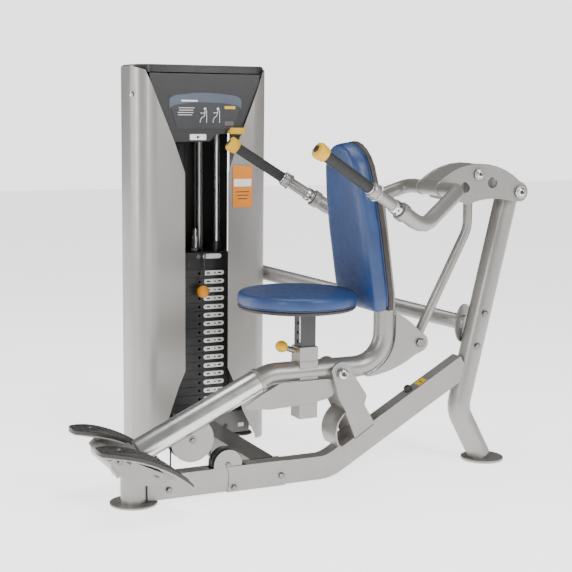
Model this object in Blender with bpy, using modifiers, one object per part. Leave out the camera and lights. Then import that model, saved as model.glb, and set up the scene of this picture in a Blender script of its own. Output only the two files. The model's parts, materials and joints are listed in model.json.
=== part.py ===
"""Seated dip machine: rocking carriage, rear-pivoted press arms, enclosed weight stack.

Metres, +Z up. The frame rail runs along Y (the user faces -Y), the weight tower stands on
the -X side, and the origin is on the floor under the middle of the whole machine. Inside
the script, places are given from a datum on the rail's mid-plane at the front foot; the
MACHINE empty carries everything from that datum to the origin.
"""
import math

import bmesh
import bpy
from mathutils import Matrix, Vector

# ---------------------------------------------------------------- driving dimensions
DATUM = Vector((0.2210, -0.6223, 0.0))    # rail datum seen from the machine's origin
GAP = 0.0003                              # clearance kept between touching solids

RAIL_W, RAIL_H, RAIL_WALL = 0.0508, 0.0762, 0.003
RAIL_BOTTOM = 0.0075
RAIL_TOP = RAIL_BOTTOM + RAIL_H
RAIL_BEND_Y = 0.6665                      # where the rail turns up towards the rear post
RAIL_SLOPE = math.radians(29.7)
RAIL_END_Y = 1.18

FOOT_R, FOOT_T = 0.073, 0.007
LEG_Y, LEG_R = 0.015, 0.0405
POST_R = 0.0385
POST_PATH = [(1.262, 0.0175), (1.169, 0.186), (1.3494, 0.940)]   # foot, knee, head (Y, Z)

PIVOT = Vector((0.0, 0.693, 0.357))       # carriage on the base bracket
ROCKER = Vector((0.0, 1.352, 0.922))      # rocker on the rear post
LINK_TOP = Vector((0.0, 1.186, 0.984))    # link on the rocker
LINK_LOW = Vector((0.0, 0.994, 0.432))    # link in the carriage lugs (the opened pivot)
LUG_X0, LUG_T = 0.026, 0.007              # inner face and thickness of the lug plates

CHROME_R = 0.0381
TUBE_R = 0.035
CHROME_SLOPE = math.atan(0.4674)
JOINT_Y, JOINT_Z = 0.421, 0.3427          # where the chrome tube meets the silver tube
SEAT_TUBE_Z = 0.363
BACK_BEND = (0.8755, 0.363)
BACK_TILT = math.radians(8.5)
BACK_TOP_Z = 0.93

SEAT_POST_Y, SEAT_POST_W = 0.588, 0.0508
RECEIVER_W, RECEIVER_Z = 0.0635, (0.215, 0.445)
PIN_TILT = math.radians(20)
SEAT_C = Vector((0.0, 0.5585, 0.568))
SEAT_R, SEAT_TRIM_T, SEAT_PAD_T = 0.188, 0.013, 0.047

BACK_REF = Vector((0.0, 0.816, 0.60))    # a point on the pad's rear plane
BACK_LEN, BACK_W, BACK_T, BACK_BOARD_T = 0.535, 0.27, 0.058, 0.016

PEDAL_X, PEDAL_W, PEDAL_T = 0.140, 0.132, 0.012
PULLEY_W = 0.024
CARRIAGE_PULLEY = Vector((0.0, 0.198, 0.183))
RAIL_PULLEY = Vector((0.0, 0.315, 0.093))
CARRIAGE_PULLEY_R, RAIL_PULLEY_R, TOP_PULLEY_R = 0.067, 0.052, 0.0539
TOP_PULLEY = Vector((-0.695, 0.465, 1.210))
CABLE_R = 0.0028
LANYARD = [(-0.5990, 0.4800, 0.6850), (-0.5945, 0.4800, 0.6848), (-0.5900, 0.4799, 0.6828),
           (-0.5865, 0.4797, 0.6790), (-0.5848, 0.4795, 0.6740), (-0.5842, 0.4790, 0.6660),
           (-0.5832, 0.4781, 0.6520), (-0.5812, 0.4768, 0.6370), (-0.5787, 0.4750, 0.6220),
           (-0.5757, 0.4728, 0.6070), (-0.5722, 0.4703, 0.5920), (-0.5692, 0.4680, 0.5805),
           (-0.5672, 0.4665, 0.5722)]

ROCKER_HALF_W, ROCKER_T = 0.060, 0.008
ARM_R = 0.024
CROSS = (1.048, 0.938)                    # cross tube axis (Y, Z)
GRIP_TIP = Vector((0.32, 0.474, 1.069))   # centre of the left handle's end cap
ARM_END = Vector((0.29, 0.757, 0.892))

TOWER_Y, TOWER_HALF = 0.465, 0.247
TOWER_FRONT, TOWER_BACK = -0.530, -0.790
TOWER_TOP = 1.335
WINDOW_HALF = 0.0805
STACK_X, STACK_DEPTH, STACK_LEN = -0.645, 0.090, 0.230
PLATE_PITCH, PLATE_T, PLATES_LOW, PLATES_UP = 0.0304, 0.0294, 14, 3
STACK_BASE = 0.108
BALL_R = 0.022
ROD_DY, ROD_R = 0.084, 0.0095

SILVER = ("champagne_silver", (0.46, 0.44, 0.42), 0.38, 0.55)
CHROME = ("chrome", (0.80, 0.80, 0.80), 0.12, 1.0)
BLUE = ("blue_vinyl", (0.028, 0.089, 0.25), 0.5, 0.0)
TRIM = ("brown_black_trim", (0.075, 0.06, 0.052), 0.55, 0.0)
YELLOW = ("yellow_plastic", (1.0, 0.62, 0.0), 0.35, 0.0)
BLACK = ("black_rubber", (0.012, 0.012, 0.012), 0.6, 0.0)
CHARCOAL = ("charcoal_plastic", (0.035, 0.035, 0.036), 0.5, 0.0)
STEEL_DARK = ("black_steel", (0.02, 0.02, 0.021), 0.45, 0.6)
PEDAL_GREY = ("grey_rubber", (0.06, 0.057, 0.054), 0.55, 0.0)

# ---------------------------------------------------------------- scene and helpers
for old in list(bpy.data.objects):
    bpy.data.objects.remove(old, do_unlink=True)

PARTS = bpy.data.collections.new("seated_dip_machine")
CUTTERS = bpy.data.collections.new("cutters")
for made in (PARTS, CUTTERS):
    bpy.context.scene.collection.children.link(made)

MACHINE = bpy.data.objects.new("MACHINE", None)
MACHINE.location = DATUM
PARTS.objects.link(MACHINE)

SIDE_ON = Matrix(((0, 0, 1, 0), (1, 0, 0, 0), (0, 1, 0, 0), (0, 0, 0, 1)))  # (y, z) plane


def material(spec):
    name, colour, rough, metal = spec
    found = bpy.data.materials.get(name)
    if found:
        return found
    mat = bpy.data.materials.new(name)
    mat.use_nodes = True
    shader = mat.node_tree.nodes["Principled BSDF"]
    shader.inputs["Base Color"].default_value = (*colour, 1.0)
    shader.inputs["Roughness"].default_value = rough
    shader.inputs["Metallic"].default_value = metal
    return mat


def adopt(obj, spec, pivot=None):
    """Link a finished object under MACHINE, its origin on pivot where it has one."""
    if spec is None:
        CUTTERS.objects.link(obj)
        obj.hide_render = True
        obj.display_type = 'WIRE'
    else:
        PARTS.objects.link(obj)
        obj.data.materials.clear()
        obj.data.materials.append(material(spec))
    obj.parent = MACHINE
    if pivot is not None:
        obj.data.transform(Matrix.Translation(-Vector(pivot)) @ obj.matrix_basis)
        obj.matrix_basis = Matrix.Translation(pivot)
    return obj


def from_bmesh(name, bm, spec, pivot=None):
    mesh = bpy.data.meshes.new(name)
    bmesh.ops.recalc_face_normals(bm, faces=bm.faces)
    bm.to_mesh(mesh)
    bm.free()
    mesh.shade_smooth()
    mesh.set_sharp_from_angle(angle=math.radians(35))
    return adopt(bpy.data.objects.new(name, mesh), spec, pivot)


def box(name, centre, size, spec, turn=None, pivot=None, bevel=0.0):
    bm = bmesh.new()
    bmesh.ops.create_cube(bm, size=1.0)
    bmesh.ops.scale(bm, vec=Vector(size), verts=bm.verts)
    if bevel:
        bmesh.ops.bevel(bm, geom=bm.edges, offset=bevel, segments=2, profile=0.5,
                        affect='EDGES')
    frame = Matrix.Translation(Vector(centre)) @ (turn or Matrix())
    bmesh.ops.transform(bm, matrix=frame, verts=bm.verts)
    return from_bmesh(name, bm, spec, pivot)


def rod(name, start, end, radius, spec, sides=20, end_radius=None, pivot=None):
    """Cylinder or cone from start to end."""
    start, end = Vector(start), Vector(end)
    bm = bmesh.new()
    bmesh.ops.create_cone(bm, cap_ends=True, segments=sides, radius1=radius,
                          radius2=radius if end_radius is None else end_radius,
                          depth=(end - start).length)
    turn = (end - start).to_track_quat('Z', 'Y').to_matrix().to_4x4()
    bmesh.ops.transform(bm, matrix=Matrix.Translation((start + end) / 2) @ turn,
                        verts=bm.verts)
    return from_bmesh(name, bm, spec, pivot)


def turned(name, profile, base, axis, spec, steps=28, pivot=None):
    """Screw a (radius, height) profile, top to bottom on its outer side, round an axis."""
    mesh = bpy.data.meshes.new(name)
    bm = bmesh.new()
    verts = [bm.verts.new((r, 0.0, h)) for r, h in profile]
    for a, b in zip(verts, verts[1:]):
        bm.edges.new((a, b))
    bm.to_mesh(mesh)
    bm.free()
    obj = bpy.data.objects.new(name, mesh)
    turn = Vector(axis).to_track_quat('Z', 'Y').to_matrix().to_4x4()
    obj.matrix_basis = Matrix.Translation(Vector(base)) @ turn
    screw = obj.modifiers.new("Screw", 'SCREW')
    screw.steps = screw.render_steps = steps
    screw.use_merge_vertices = True
    screw.merge_threshold = 0.00005
    screw.use_smooth_shade = True
    return baked(obj, spec, pivot)


def baked(obj, spec, pivot=None):
    """Replace a curve or modifier object by its welded mesh, ready to cut or be cut."""
    bpy.context.scene.collection.objects.link(obj)
    bpy.context.view_layer.update()
    depsgraph = bpy.context.evaluated_depsgraph_get()
    mesh = bpy.data.meshes.new_from_object(obj.evaluated_get(depsgraph))
    placed = obj.matrix_basis.copy()
    name, old = obj.name, obj.data
    bpy.data.objects.remove(obj)
    if isinstance(old, bpy.types.Curve):
        bpy.data.curves.remove(old)
    bm = bmesh.new()
    bm.from_mesh(mesh)
    bmesh.ops.remove_doubles(bm, verts=bm.verts, dist=0.00002)
    bmesh.ops.transform(bm, matrix=placed, verts=bm.verts)
    bpy.data.meshes.remove(mesh)
    return from_bmesh(name, bm, spec, pivot)


def bent(points, radii, step=math.radians(12)):
    """Path through points with a round bend of the given radius at each inner one."""
    points = [Vector(p) for p in points]
    path = [points[0]]
    for before, corner, after, radius in zip(points, points[1:], points[2:], radii):
        back, ahead = (before - corner).normalized(), (after - corner).normalized()
        half = back.angle(ahead) / 2
        reach = radius / math.tan(half)
        centre = corner + (back + ahead).normalized() * (radius / math.sin(half))
        start = (corner + back * reach - centre).normalized()
        end = (corner + ahead * reach - centre).normalized()
        count = max(2, round((math.pi - 2 * half) / step))
        path += [centre + start.slerp(end, i / count) * radius for i in range(count + 1)]
    return path + [points[-1]]


def tube(name, path, radius, spec, sides=20, pivot=None):
    curve = bpy.data.curves.new(name, 'CURVE')
    curve.dimensions = '3D'
    curve.bevel_depth = radius
    curve.bevel_resolution = (sides - 4) // 2
    curve.use_fill_caps = True
    line = curve.splines.new('POLY')
    line.points.add(len(path) - 1)
    for point, place in zip(line.points, path):
        point.co = (*place, 1.0)
    return baked(bpy.data.objects.new(name, curve), spec, pivot)


def arc(cy, cz, radius, start, end, count=8):
    """Points along an arc, angles in degrees."""
    angles = [math.radians(start + (end - start) * i / count) for i in range(count + 1)]
    return [(cy + radius * math.cos(a), cz + radius * math.sin(a)) for a in angles]


def arc3(a, b, c, count=10):
    """Points along the arc through three points."""
    (ax, ay), (bx, by), (cx, cy) = a, b, c
    d = 2 * (ax * (by - cy) + bx * (cy - ay) + cx * (ay - by))
    a2, b2, c2 = ax * ax + ay * ay, bx * bx + by * by, cx * cx + cy * cy
    ox = (a2 * (by - cy) + b2 * (cy - ay) + c2 * (ay - by)) / d
    oy = (a2 * (cx - bx) + b2 * (ax - cx) + c2 * (bx - ax)) / d
    start, mid, end = (math.atan2(y - oy, x - ox) for x, y in (a, b, c))
    mid = start + (mid - start + math.pi) % (2 * math.pi) - math.pi
    end = mid + (end - mid + math.pi) % (2 * math.pi) - math.pi
    radius = math.hypot(ax - ox, ay - oy)
    return arc(ox, oy, radius, math.degrees(start), math.degrees(end), count)


def rounded(points, radii, step=math.radians(20)):
    """Closed outline with a round corner at each point whose radius isn't zero."""
    outline = []
    count = len(points)
    for i, (point, radius) in enumerate(zip(points, radii)):
        if not radius:
            outline.append(tuple(point))
            continue
        ends = [Vector((*points[i - 1], 0)), Vector((*point, 0)),
                Vector((*points[(i + 1) % count], 0))]
        outline += [(p.x, p.y) for p in bent(ends, [radius], step)[1:-1]]
    return outline


def flat(name, outlines, thickness, frame, spec, pivot=None):
    """Flat piece: the first outline with the others cut out, centred on frame's plane."""
    curve = bpy.data.curves.new(name, 'CURVE')
    curve.dimensions = '2D'
    curve.fill_mode = 'BOTH'
    curve.extrude = thickness / 2
    for outline in outlines:
        line = curve.splines.new('POLY')
        line.points.add(len(outline) - 1)
        line.use_cyclic_u = True
        for point, (a, b) in zip(line.points, outline):
            point.co = (a, b, 0.0, 1.0)
    obj = bpy.data.objects.new(name, curve)
    obj.matrix_basis = frame
    return baked(obj, spec, pivot)


def side(name, outlines, x0, x1, spec, pivot=None):
    """Plate standing in the YZ plane between two X planes."""
    frame = Matrix.Translation(((x0 + x1) / 2, 0, 0)) @ SIDE_ON
    return flat(name, outlines, abs(x1 - x0), frame, spec, pivot)


def level(name, outlines, z0, z1, spec, pivot=None):
    """Plate lying in the XY plane between two heights."""
    return flat(name, outlines, z1 - z0, Matrix.Translation((0, 0, (z0 + z1) / 2)), spec,
                pivot)


def ring(y, z, radius, count=16):
    return arc(y, z, radius, 0, 360 - 360 / count, count - 1)


def cut(obj, *cutters):
    for cutter in cutters:
        mod = obj.modifiers.new("cut_" + cutter.name, 'BOOLEAN')
        mod.operation = 'DIFFERENCE'
        mod.solver = 'EXACT'
        mod.object = cutter
    return obj


def join(obj, *others):
    for other in others:
        mod = obj.modifiers.new("join_" + other.name, 'BOOLEAN')
        mod.operation = 'UNION'
        mod.solver = 'EXACT'
        mod.object = other
    return obj


def on_x(point, x):
    return Vector((x, point[-2], point[-1]))


def drill(name, centre, radius, x0, x1, sides=16):
    """Cutter along X."""
    return rod(name, on_x(centre, x0), on_x(centre, x1), radius, None, sides)


# ---------------------------------------------------------------- base frame
def rail_outline(inset, y0, y1):
    """Side view of the rail: level, then rising to the rear post."""
    half = RAIL_H / 2 - inset
    mid_z = RAIL_BOTTOM + RAIL_H / 2
    up = Vector((math.cos(RAIL_SLOPE), math.sin(RAIL_SLOPE)))
    normal = Vector((-up.y, up.x))
    corner = Vector((RAIL_BEND_Y, mid_z))
    shift = half * math.tan(RAIL_SLOPE / 2)
    end = corner + up * ((y1 - RAIL_BEND_Y) / up.x)
    low = [(y0, mid_z - half), (corner.x + shift, mid_z - half), tuple(end - normal * half)]
    top = [tuple(end + normal * half), (corner.x - shift, mid_z + half),
           (y0, mid_z + half)]
    return rounded(low + top, [0, 0.16 + inset, 0, 0, 0.08, 0], math.radians(8))


def base_frame():
    rail = side("base_rail", [rail_outline(0, 0.02, RAIL_END_Y)], -RAIL_W / 2, RAIL_W / 2,
                SILVER)
    bore = side("rail_bore", [rail_outline(RAIL_WALL, 0.0, RAIL_END_Y + 0.1)],
                RAIL_WALL - RAIL_W / 2, RAIL_W / 2 - RAIL_WALL, None)
    leg_cut = rod("rail_leg_cut", (0, LEG_Y, -0.02), (0, LEG_Y, 0.12), LEG_R + 0.003 + GAP,
                  None, 32)
    knee, head = (Vector((0, *p)) for p in POST_PATH[1:])
    post_cut = rod("rail_post_cut", knee - (head - knee) * 0.3, head, POST_R + GAP, None, 32)
    pulley_slot = box("rail_pulley_slot", (0, 0.315, RAIL_TOP), (0.034, 0.112, 0.03), None)
    cable_slot = box("rail_cable_slot", (0, 0.135, RAIL_TOP), (0.02, 0.05, 0.03), None)
    beam_port = box("rail_beam_port", (-RAIL_W / 2, 0.452, RAIL_BOTTOM + 0.036),
                    (0.02, 0.036, 0.03), None)
    cut(rail, bore, leg_cut, post_cut, pulley_slot, cable_slot, beam_port)
    y, z = RAIL_PULLEY.yz
    cheek = arc(y, z, 0.047, 0, 180, 12) + [(y - 0.047, z - 0.02), (y + 0.047, z - 0.02)]
    join(rail, *(side(f"pulley_cheek_{tag}", [cheek], x, x + 0.0030, None)
                 for tag, x in (("left", 0.0219), ("right", -0.0249))),
         rod("rail_pulley_axle", on_x(RAIL_PULLEY, -0.0235), on_x(RAIL_PULLEY, 0.0235), 0.0056,
             None, 12))

    outer = box("rail_sleeve", (0, 0.4105, RAIL_BOTTOM + RAIL_H / 2),
                (RAIL_W + 0.006, 0.199, RAIL_H + 0.005), SILVER)
    inner = box("sleeve_bore", (0, 0.41, RAIL_BOTTOM + RAIL_H / 2),
                (RAIL_W + 2 * GAP, 0.3, RAIL_H + 2 * GAP), None)
    slot = box("sleeve_slot", (0, 0.335, RAIL_TOP), (0.0524, 0.084, 0.03), None)
    port = box("sleeve_port", (-RAIL_W / 2, 0.452, 0.0465), (0.02, 0.0826, 0.0797), None)
    round_end = drill("sleeve_round", (0.2015, RAIL_BOTTOM + RAIL_H / 2), 0.116, -0.06, 0.06,
                      48)
    cut(outer, inner, slot, port, round_end)

    leg = turned("front_leg", [(0, 0.098), (LEG_R + 0.003, 0.098), (LEG_R + 0.003, 0.092),
                               (LEG_R, 0.089), (LEG_R, FOOT_T), (FOOT_R, FOOT_T * 0.8),
                               (FOOT_R, 0.0), (0, 0.0)],
                 (0, LEG_Y, 0), (0, 0, 1), SILVER, 28)
    post = tube("rear_post", bent([(0, *p) for p in POST_PATH], [0.09]), POST_R, SILVER, 24)
    floor_trim = box("post_floor_trim", (0, 1.262, -0.04 + FOOT_T + GAP), (0.3, 0.3, 0.08),
                     None)
    head_trim = turned("post_head_trim", [(0, 0.06), (0.06, 0.06), (0.06, 0), (0, 0)],
                       (0, 1.33, 0.929), (0, 0.23, 0.973), None, 16)
    cut(post, floor_trim, head_trim)
    join(post, rod("rear_foot", (0, 1.275, 0), (0, 1.275, FOOT_T + 0.001), FOOT_R, None, 28),
         rod("rocker_axle", on_x(ROCKER, -0.0665), on_x(ROCKER, 0.0665), 0.0105, None, 20))
    up = Vector((0, -math.sin(RAIL_SLOPE), math.cos(RAIL_SLOPE)))
    turned("bumper", [(0, 0.018), (0.009, 0.018), (0.012, 0.014), (0.013, GAP),
                      (0, GAP)], rail_top(0.975), up, BLACK, 16)


def pivot_bracket():
    """Two plates on a saddle over the rail's bend, carrying the carriage pivot."""
    y, z = PIVOT.yz
    crown = arc(y, z, 0.037, 5, 165, 9)
    outline = rounded(crown + [(0.670, 0.325), (0.684, 0.280), (0.711, 0.229), (0.7455, 0.1375),
                               (0.8135, 0.179), (0.8135, 0.187), (0.777, 0.2485),
                               (0.786, 0.278)],
                      [0] * len(crown) + [0, 0.03, 0.02, 0, 0, 0.004, 0.014, 0.014])
    arch = arc3((0.718, 0.232), (0.6765, 0.158), (0.690, 0.113), 8)
    web = side("bracket_web", [arch + [(v + 0.006, w) for v, w in reversed(arch)]], -0.0505,
               0.0505, None)
    plates = [side("bracket_" + tag, [outline, ring(y, z, 0.0115)], x, x + 0.007, spec, PIVOT)
              for tag, x, spec in (("left", 0.0495, SILVER), ("right", -0.0565, None))]
    start, end = rail_top(0.705), rail_top(0.792)
    turn = Matrix.Rotation(RAIL_SLOPE, 4, 'X')
    lift = turn.to_3x3() @ Vector((0, 0, 0.0035))
    saddle = box("bracket_saddle", (start + end) / 2 + lift,
                 (0.106, (end - start).length, 0.006), None, turn)
    bracket = join(plates[0], saddle, plates[1], web)
    bracket.name = "pivot_bracket"


def rail_top(y):
    """Point on the inclined rail's top face."""
    z = (RAIL_BOTTOM + RAIL_H / 2 + RAIL_H / 2 / math.cos(RAIL_SLOPE)
         + (y - RAIL_BEND_Y) * math.tan(RAIL_SLOPE))
    return Vector((0, y, z))


def rear_tie():
    """Round tie tube from the tower to a flange on the rear post."""
    start, end = Vector((-0.725, 0.6607, 0.6133)), Vector((-0.036, 1.212, 0.472))
    tie = tube("tie_tube", [start, end], 0.027, SILVER, 16)
    clear = box("tie_tower_trim", (-0.65, 0.6128, 0.6), (0.4, 0.2, 0.3), None)
    cut(tie, clear)
    aim = Vector((-1, -0.62, 0)).normalized()
    flange = turned("tie_flange", [(0, 0.014), (0.04, 0.012), (0.066, 0.004), (0.066, 0),
                                   (0, 0)], end + aim * 0.0023, aim, None, 24)
    join(tie, flange)
    knee, head = (Vector((0, *p)) for p in POST_PATH[1:])
    cut(tie, rod("flange_post_cut", knee, head, POST_R + GAP, None, 32))


# ---------------------------------------------------------------- weight tower
def tower_skin(front, hand):
    """Plan of one wrapped shroud half as (x, y), outer line then inner line."""
    t = 0.0025
    y = lambda v: TOWER_Y + hand * v
    outer = [(front, y(WINDOW_HALF)), (front - 0.006, y(TOWER_HALF - 0.02)),
             (-0.62, y(TOWER_HALF)), (-0.735, y(TOWER_HALF - 0.003)),
             (TOWER_BACK + 0.004, y(TOWER_HALF - 0.055))]
    inner = [(TOWER_BACK + 0.004 + t, y(TOWER_HALF - 0.058)),
             (-0.735, y(TOWER_HALF - 0.003 - t)), (-0.62, y(TOWER_HALF - t)),
             (front - 0.006 - t, y(TOWER_HALF - 0.0235)), (front - t, y(WINDOW_HALF))]
    return rounded(outer + inner, [0, 0.06, 0.05, 0.04, 0, 0, 0.0375, 0.0475, 0.0575, 0],
                   math.radians(15))


def shroud(name, hand):
    """One silver side cover: wrapped sheet, cut away towards the top and the bottom."""
    skin = level(name, [tower_skin(TOWER_FRONT, hand)], 0.006, TOWER_TOP - 0.004, SILVER)
    side_y = lambda v: TOWER_Y + hand * v
    upper = [(side_y(WINDOW_HALF - 0.06), 0.968), (side_y(WINDOW_HALF), 0.968),
             (side_y(0.118), 1.075), (side_y(0.176), 1.215), (side_y(0.203), 1.283),
             (side_y(0.216), 1.316), (side_y(0.252), 1.330), (side_y(0.252), 1.40),
             (side_y(-0.05), 1.40), (side_y(-0.05), 0.968)]
    lower = [(side_y(-0.05), -0.05), (side_y(0.195 if hand > 0 else 0.172), -0.05),
             (side_y(0.19 if hand > 0 else 0.165), 0.02), (side_y(0.142), 0.11),
             (side_y(0.103), 0.225), (side_y(WINDOW_HALF), 0.275), (side_y(-0.05), 0.275)]
    for tag, outline in (("top", upper), ("foot", lower)):
        cutter = side(f"{name}_{tag}_cut", [outline], -0.60, -0.40, None)
        cut(skin, cutter)
    return skin


def tower():
    shroud("shroud_front", -1)
    shroud("shroud_rear", 1)
    back = TOWER_BACK
    box("tower_back", (back - 0.0027 + 0.006, TOWER_Y, 0.68), (0.003, 0.366, 1.296), CHARCOAL)
    cap_outline = rounded([(TOWER_FRONT - 0.014, TOWER_Y - 0.205),
                           (TOWER_FRONT - 0.014, TOWER_Y + 0.205),
                           (-0.60, TOWER_Y + 0.240), (-0.735, TOWER_Y + 0.238),
                           (back + 0.010, TOWER_Y + 0.190),
                           (back + 0.010, TOWER_Y - 0.190), (-0.735, TOWER_Y - 0.238),
                           (-0.60, TOWER_Y - 0.240)],
                          [0.03, 0.03, 0.03, 0.04, 0.02, 0.02, 0.04, 0.03], math.radians(22))
    level("top_cap", [cap_outline], TOWER_TOP - 0.0255, TOWER_TOP, CHARCOAL)

    panel_x = TOWER_FRONT - 0.019
    left = lambda v: TOWER_Y - v
    outline = [(left(0.203), 1.306), (left(0.200), 1.279), (left(0.160), 1.155),
               (left(0.122), 1.074), (left(-0.016), 1.0755), (left(-0.040), 1.099),
               (left(-0.108), 1.106), (left(-0.130), 1.106), (left(-0.160), 1.155),
               (left(-0.200), 1.279), (left(-0.203), 1.306)]
    side("placard_panel", [rounded(outline, [0, 0.01, 0, 0.004, 0.004, 0.006, 0, 0.004, 0,
                                             0.01, 0])],
         panel_x, panel_x + 0.006, CHARCOAL)

    beam = box("top_crossmember", (STACK_X, TOWER_Y, 1.290), (0.045, 0.44, 0.034), STEEL_DARK)
    yokes = [box(f"pulley_yoke_{i}", (-0.69, TOWER_Y + s * 0.0185, 1.243), (0.060, 0.006, 0.10),
                 None) for i, s in enumerate((-1, 1))]
    axle = rod("top_pulley_axle", TOP_PULLEY - Vector((0, 0.02, 0)),
               TOP_PULLEY + Vector((0, 0.02, 0)), 0.0056, None, 16)
    join(beam, *yokes, axle)
    for name, dy in (("guide_rod_front", -ROD_DY), ("guide_rod_rear", ROD_DY)):
        rod(name, (STACK_X, TOWER_Y + dy, 0.0955), (STACK_X, TOWER_Y + dy, 1.273 - GAP),
            ROD_R, CHROME, 16)
    rod("rear_upright", (-0.742, 0.519, 0.0955), (-0.742, 0.519, 1.309), 0.0125, CHROME, 20)

    base = box("tower_base", (-0.660, TOWER_Y, 0.054), (0.095, 0.40, 0.081), STEEL_DARK)
    hollow = box("tower_base_hollow", (-0.660, TOWER_Y, 0.046), (0.087, 0.6, 0.075), None)
    port = box("tower_base_port", (-0.665, 0.458, 0.043), (0.19, 0.05, 0.05), None)
    cut(base, hollow, port)
    rise = box("tower_base_riser", (-0.742, 0.5, 0.0885), (0.08, 0.10, 0.012), None)
    lift = box("base_cable_port", (-0.745, 0.465, 0.09), (0.02, 0.02, 0.04), None)
    join(base, rise)
    cut(base, lift)
    rest = box("stack_rest", (STACK_X, TOWER_Y, 0.1003), (0.08, 0.20, 0.0144), None)
    cut(rest, *(rod(f"rest_hole_{i}", (STACK_X, TOWER_Y + s * ROD_DY, 0.0948),
                    (STACK_X, TOWER_Y + s * ROD_DY, 0.12), ROD_R + 0.001, None, 16)
                for i, s in enumerate((-1, 1))))
    join(base, rest)
    for name, y, spec in (("tower_foot", 0.643, STEEL_DARK), ("tower_foot_front", 0.287, None)):
        foot = turned(name, [(0, 0.0145 if spec is None else 0.0132), (0.006, 0.0125),
                             (0.008, 0.010), (0.042, 0.007), (0.046, 0.003), (0.046, 0),
                             (0, 0)], (-0.648, y, 0), (0, 0, 1), spec, 24)
    post = rod("front_foot_screw", (-0.648, 0.287, 0.008), (-0.648, 0.287, 0.088), 0.006,
               None, 12)
    join(base, foot, post)


def cross_beam():
    beam = box("cross_beam", (-0.3205, 0.452, 0.047), (0.582, 0.0826, 0.0797), STEEL_DARK)
    beam_bore = box("beam_bore", (-0.32, 0.452, 0.047), (0.8, 0.0746, 0.0717), None)
    cut(beam, beam_bore)


def weight_stack():
    top_of_low = STACK_BASE + PLATES_LOW * PLATE_PITCH
    plate_block("weights_resting", STACK_BASE, PLATES_LOW)
    plate_block("weights_picked", top_of_low, PLATES_UP)
    head_z = top_of_low + PLATES_UP * PLATE_PITCH
    head = box("top_plate", (STACK_X, TOWER_Y, head_z + 0.029), (STACK_DEPTH, STACK_LEN, 0.0575),
               STEEL_DARK)
    cut(head, *rod_holes("head", head_z - 0.01, head_z + 0.08),
        rod("head_stem_hole", (STACK_X, TOWER_Y, head_z - 0.02),
            (STACK_X, TOWER_Y, head_z + 0.08), 0.0125, None, 16))
    for i, dy in enumerate((-ROD_DY, ROD_DY)):
        bush = turned(f"head_bushing_{i}", [(ROD_R + 0.001, 0.035), (0.0155, 0.035),
                                            (0.0155, -0.003), (ROD_R + 0.001, -0.003),
                                            (ROD_R + 0.001, 0.035)],
                      (STACK_X, TOWER_Y + dy, head_z + 0.0577), (0, 0, 1), None, 16)
        join(head, bush)
    pin_z = top_of_low + PLATE_T / 2
    stem = turned("selector_stem", [(0, 0.765), (0.004, 0.765), (0.008, 0.757),
                                    (0.008, 0.741), (0.0115, 0.735), (0.0115, pin_z - 0.16),
                                    (0, pin_z - 0.16)],
                  (STACK_X, TOWER_Y, 0), (0, 0, 1), CHROME, 16)
    cut(stem, rod("stem_pin_hole", (-0.70, TOWER_Y, pin_z), (-0.55, TOWER_Y, pin_z), 0.0046,
                  None, 12))
    turned("selector_pin",
           [(0, BALL_R)] + [(BALL_R * math.sin(a), BALL_R * math.cos(a)) for a in
                            (math.radians(d) for d in range(20, 150, 20))]
           + [(0.008, -0.021), (0.004, -0.026), (0.004, -0.125), (0, -0.127)],
           (-0.566, TOWER_Y, pin_z), (1, 0, 0), YELLOW, 20)


def rod_holes(tag, z0, z1):
    return [rod(f"{tag}_rod_hole_{i}", (STACK_X, TOWER_Y + s * ROD_DY, z0),
                (STACK_X, TOWER_Y + s * ROD_DY, z1), ROD_R + 0.001, None, 16)
            for i, s in enumerate((-1, 1))]


def plate_block(name, z0, count):
    """Weight plates lying on each other, as one solid with a shadow gap between plates."""
    block = box(name, (STACK_X, TOWER_Y, z0 + PLATE_T / 2), (STACK_DEPTH, STACK_LEN, PLATE_T),
                STEEL_DARK)
    pile = block.modifiers.new("Pile", 'ARRAY')
    pile.count = count
    pile.use_relative_offset = False
    pile.use_constant_offset = True
    pile.constant_offset_displace = (0, 0, PLATE_PITCH)
    height = (count - 1) * PLATE_PITCH + PLATE_T
    join(block, box(name + "_core", (STACK_X, TOWER_Y, z0 + height / 2),
                    (STACK_DEPTH - 0.008, STACK_LEN - 0.008, height - 0.002), None))
    top = z0 + count * PLATE_PITCH
    cut(block, *rod_holes(name, z0 - 0.01, top + 0.01),
        rod(name + "_stem_hole", (STACK_X, TOWER_Y, z0 - 0.01),
            (STACK_X, TOWER_Y, top + 0.01), 0.0125, None, 16))
    for i in range(count):
        z = z0 + i * PLATE_PITCH + PLATE_T / 2
        deep = -0.70 if count == PLATES_UP and i == 0 else -0.64
        cut(block, rod(f"{name}_pin_{i}", (deep, TOWER_Y, z), (-0.55, TOWER_Y, z), 0.0050,
                       None, 8))


def addon_lever():
    """Small lever on the placard panel that adds a half step of weight."""
    pivot = Vector((-0.520, 0.552, 1.110))
    lever = box("addon_lever", pivot + Vector((0, 0.022, 0.002)), (0.011, 0.056, 0.022), YELLOW,
                pivot=pivot, bevel=0.004)
    join(lever, rod("lever_stub", on_x(pivot, -0.5427), on_x(pivot, -0.52), 0.005, None, 16))


# ---------------------------------------------------------------- cables and pulleys
def pulley(name, centre, axis, radius):
    w = PULLEY_W / 2
    turned(name, [(0.006, w), (radius, w), (radius, w - 0.003),
                  (radius - 0.007, 0.0035), (radius - 0.007, -0.0035),
                  (radius, 0.003 - w), (radius, -w), (0.006, -w), (0.006, w)],
           centre, axis, BLACK, 24, pivot=centre)


def seat_of(radius):
    """Radius of the cable's centre line on a pulley."""
    return radius - 0.007 + CABLE_R + 0.0012


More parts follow.
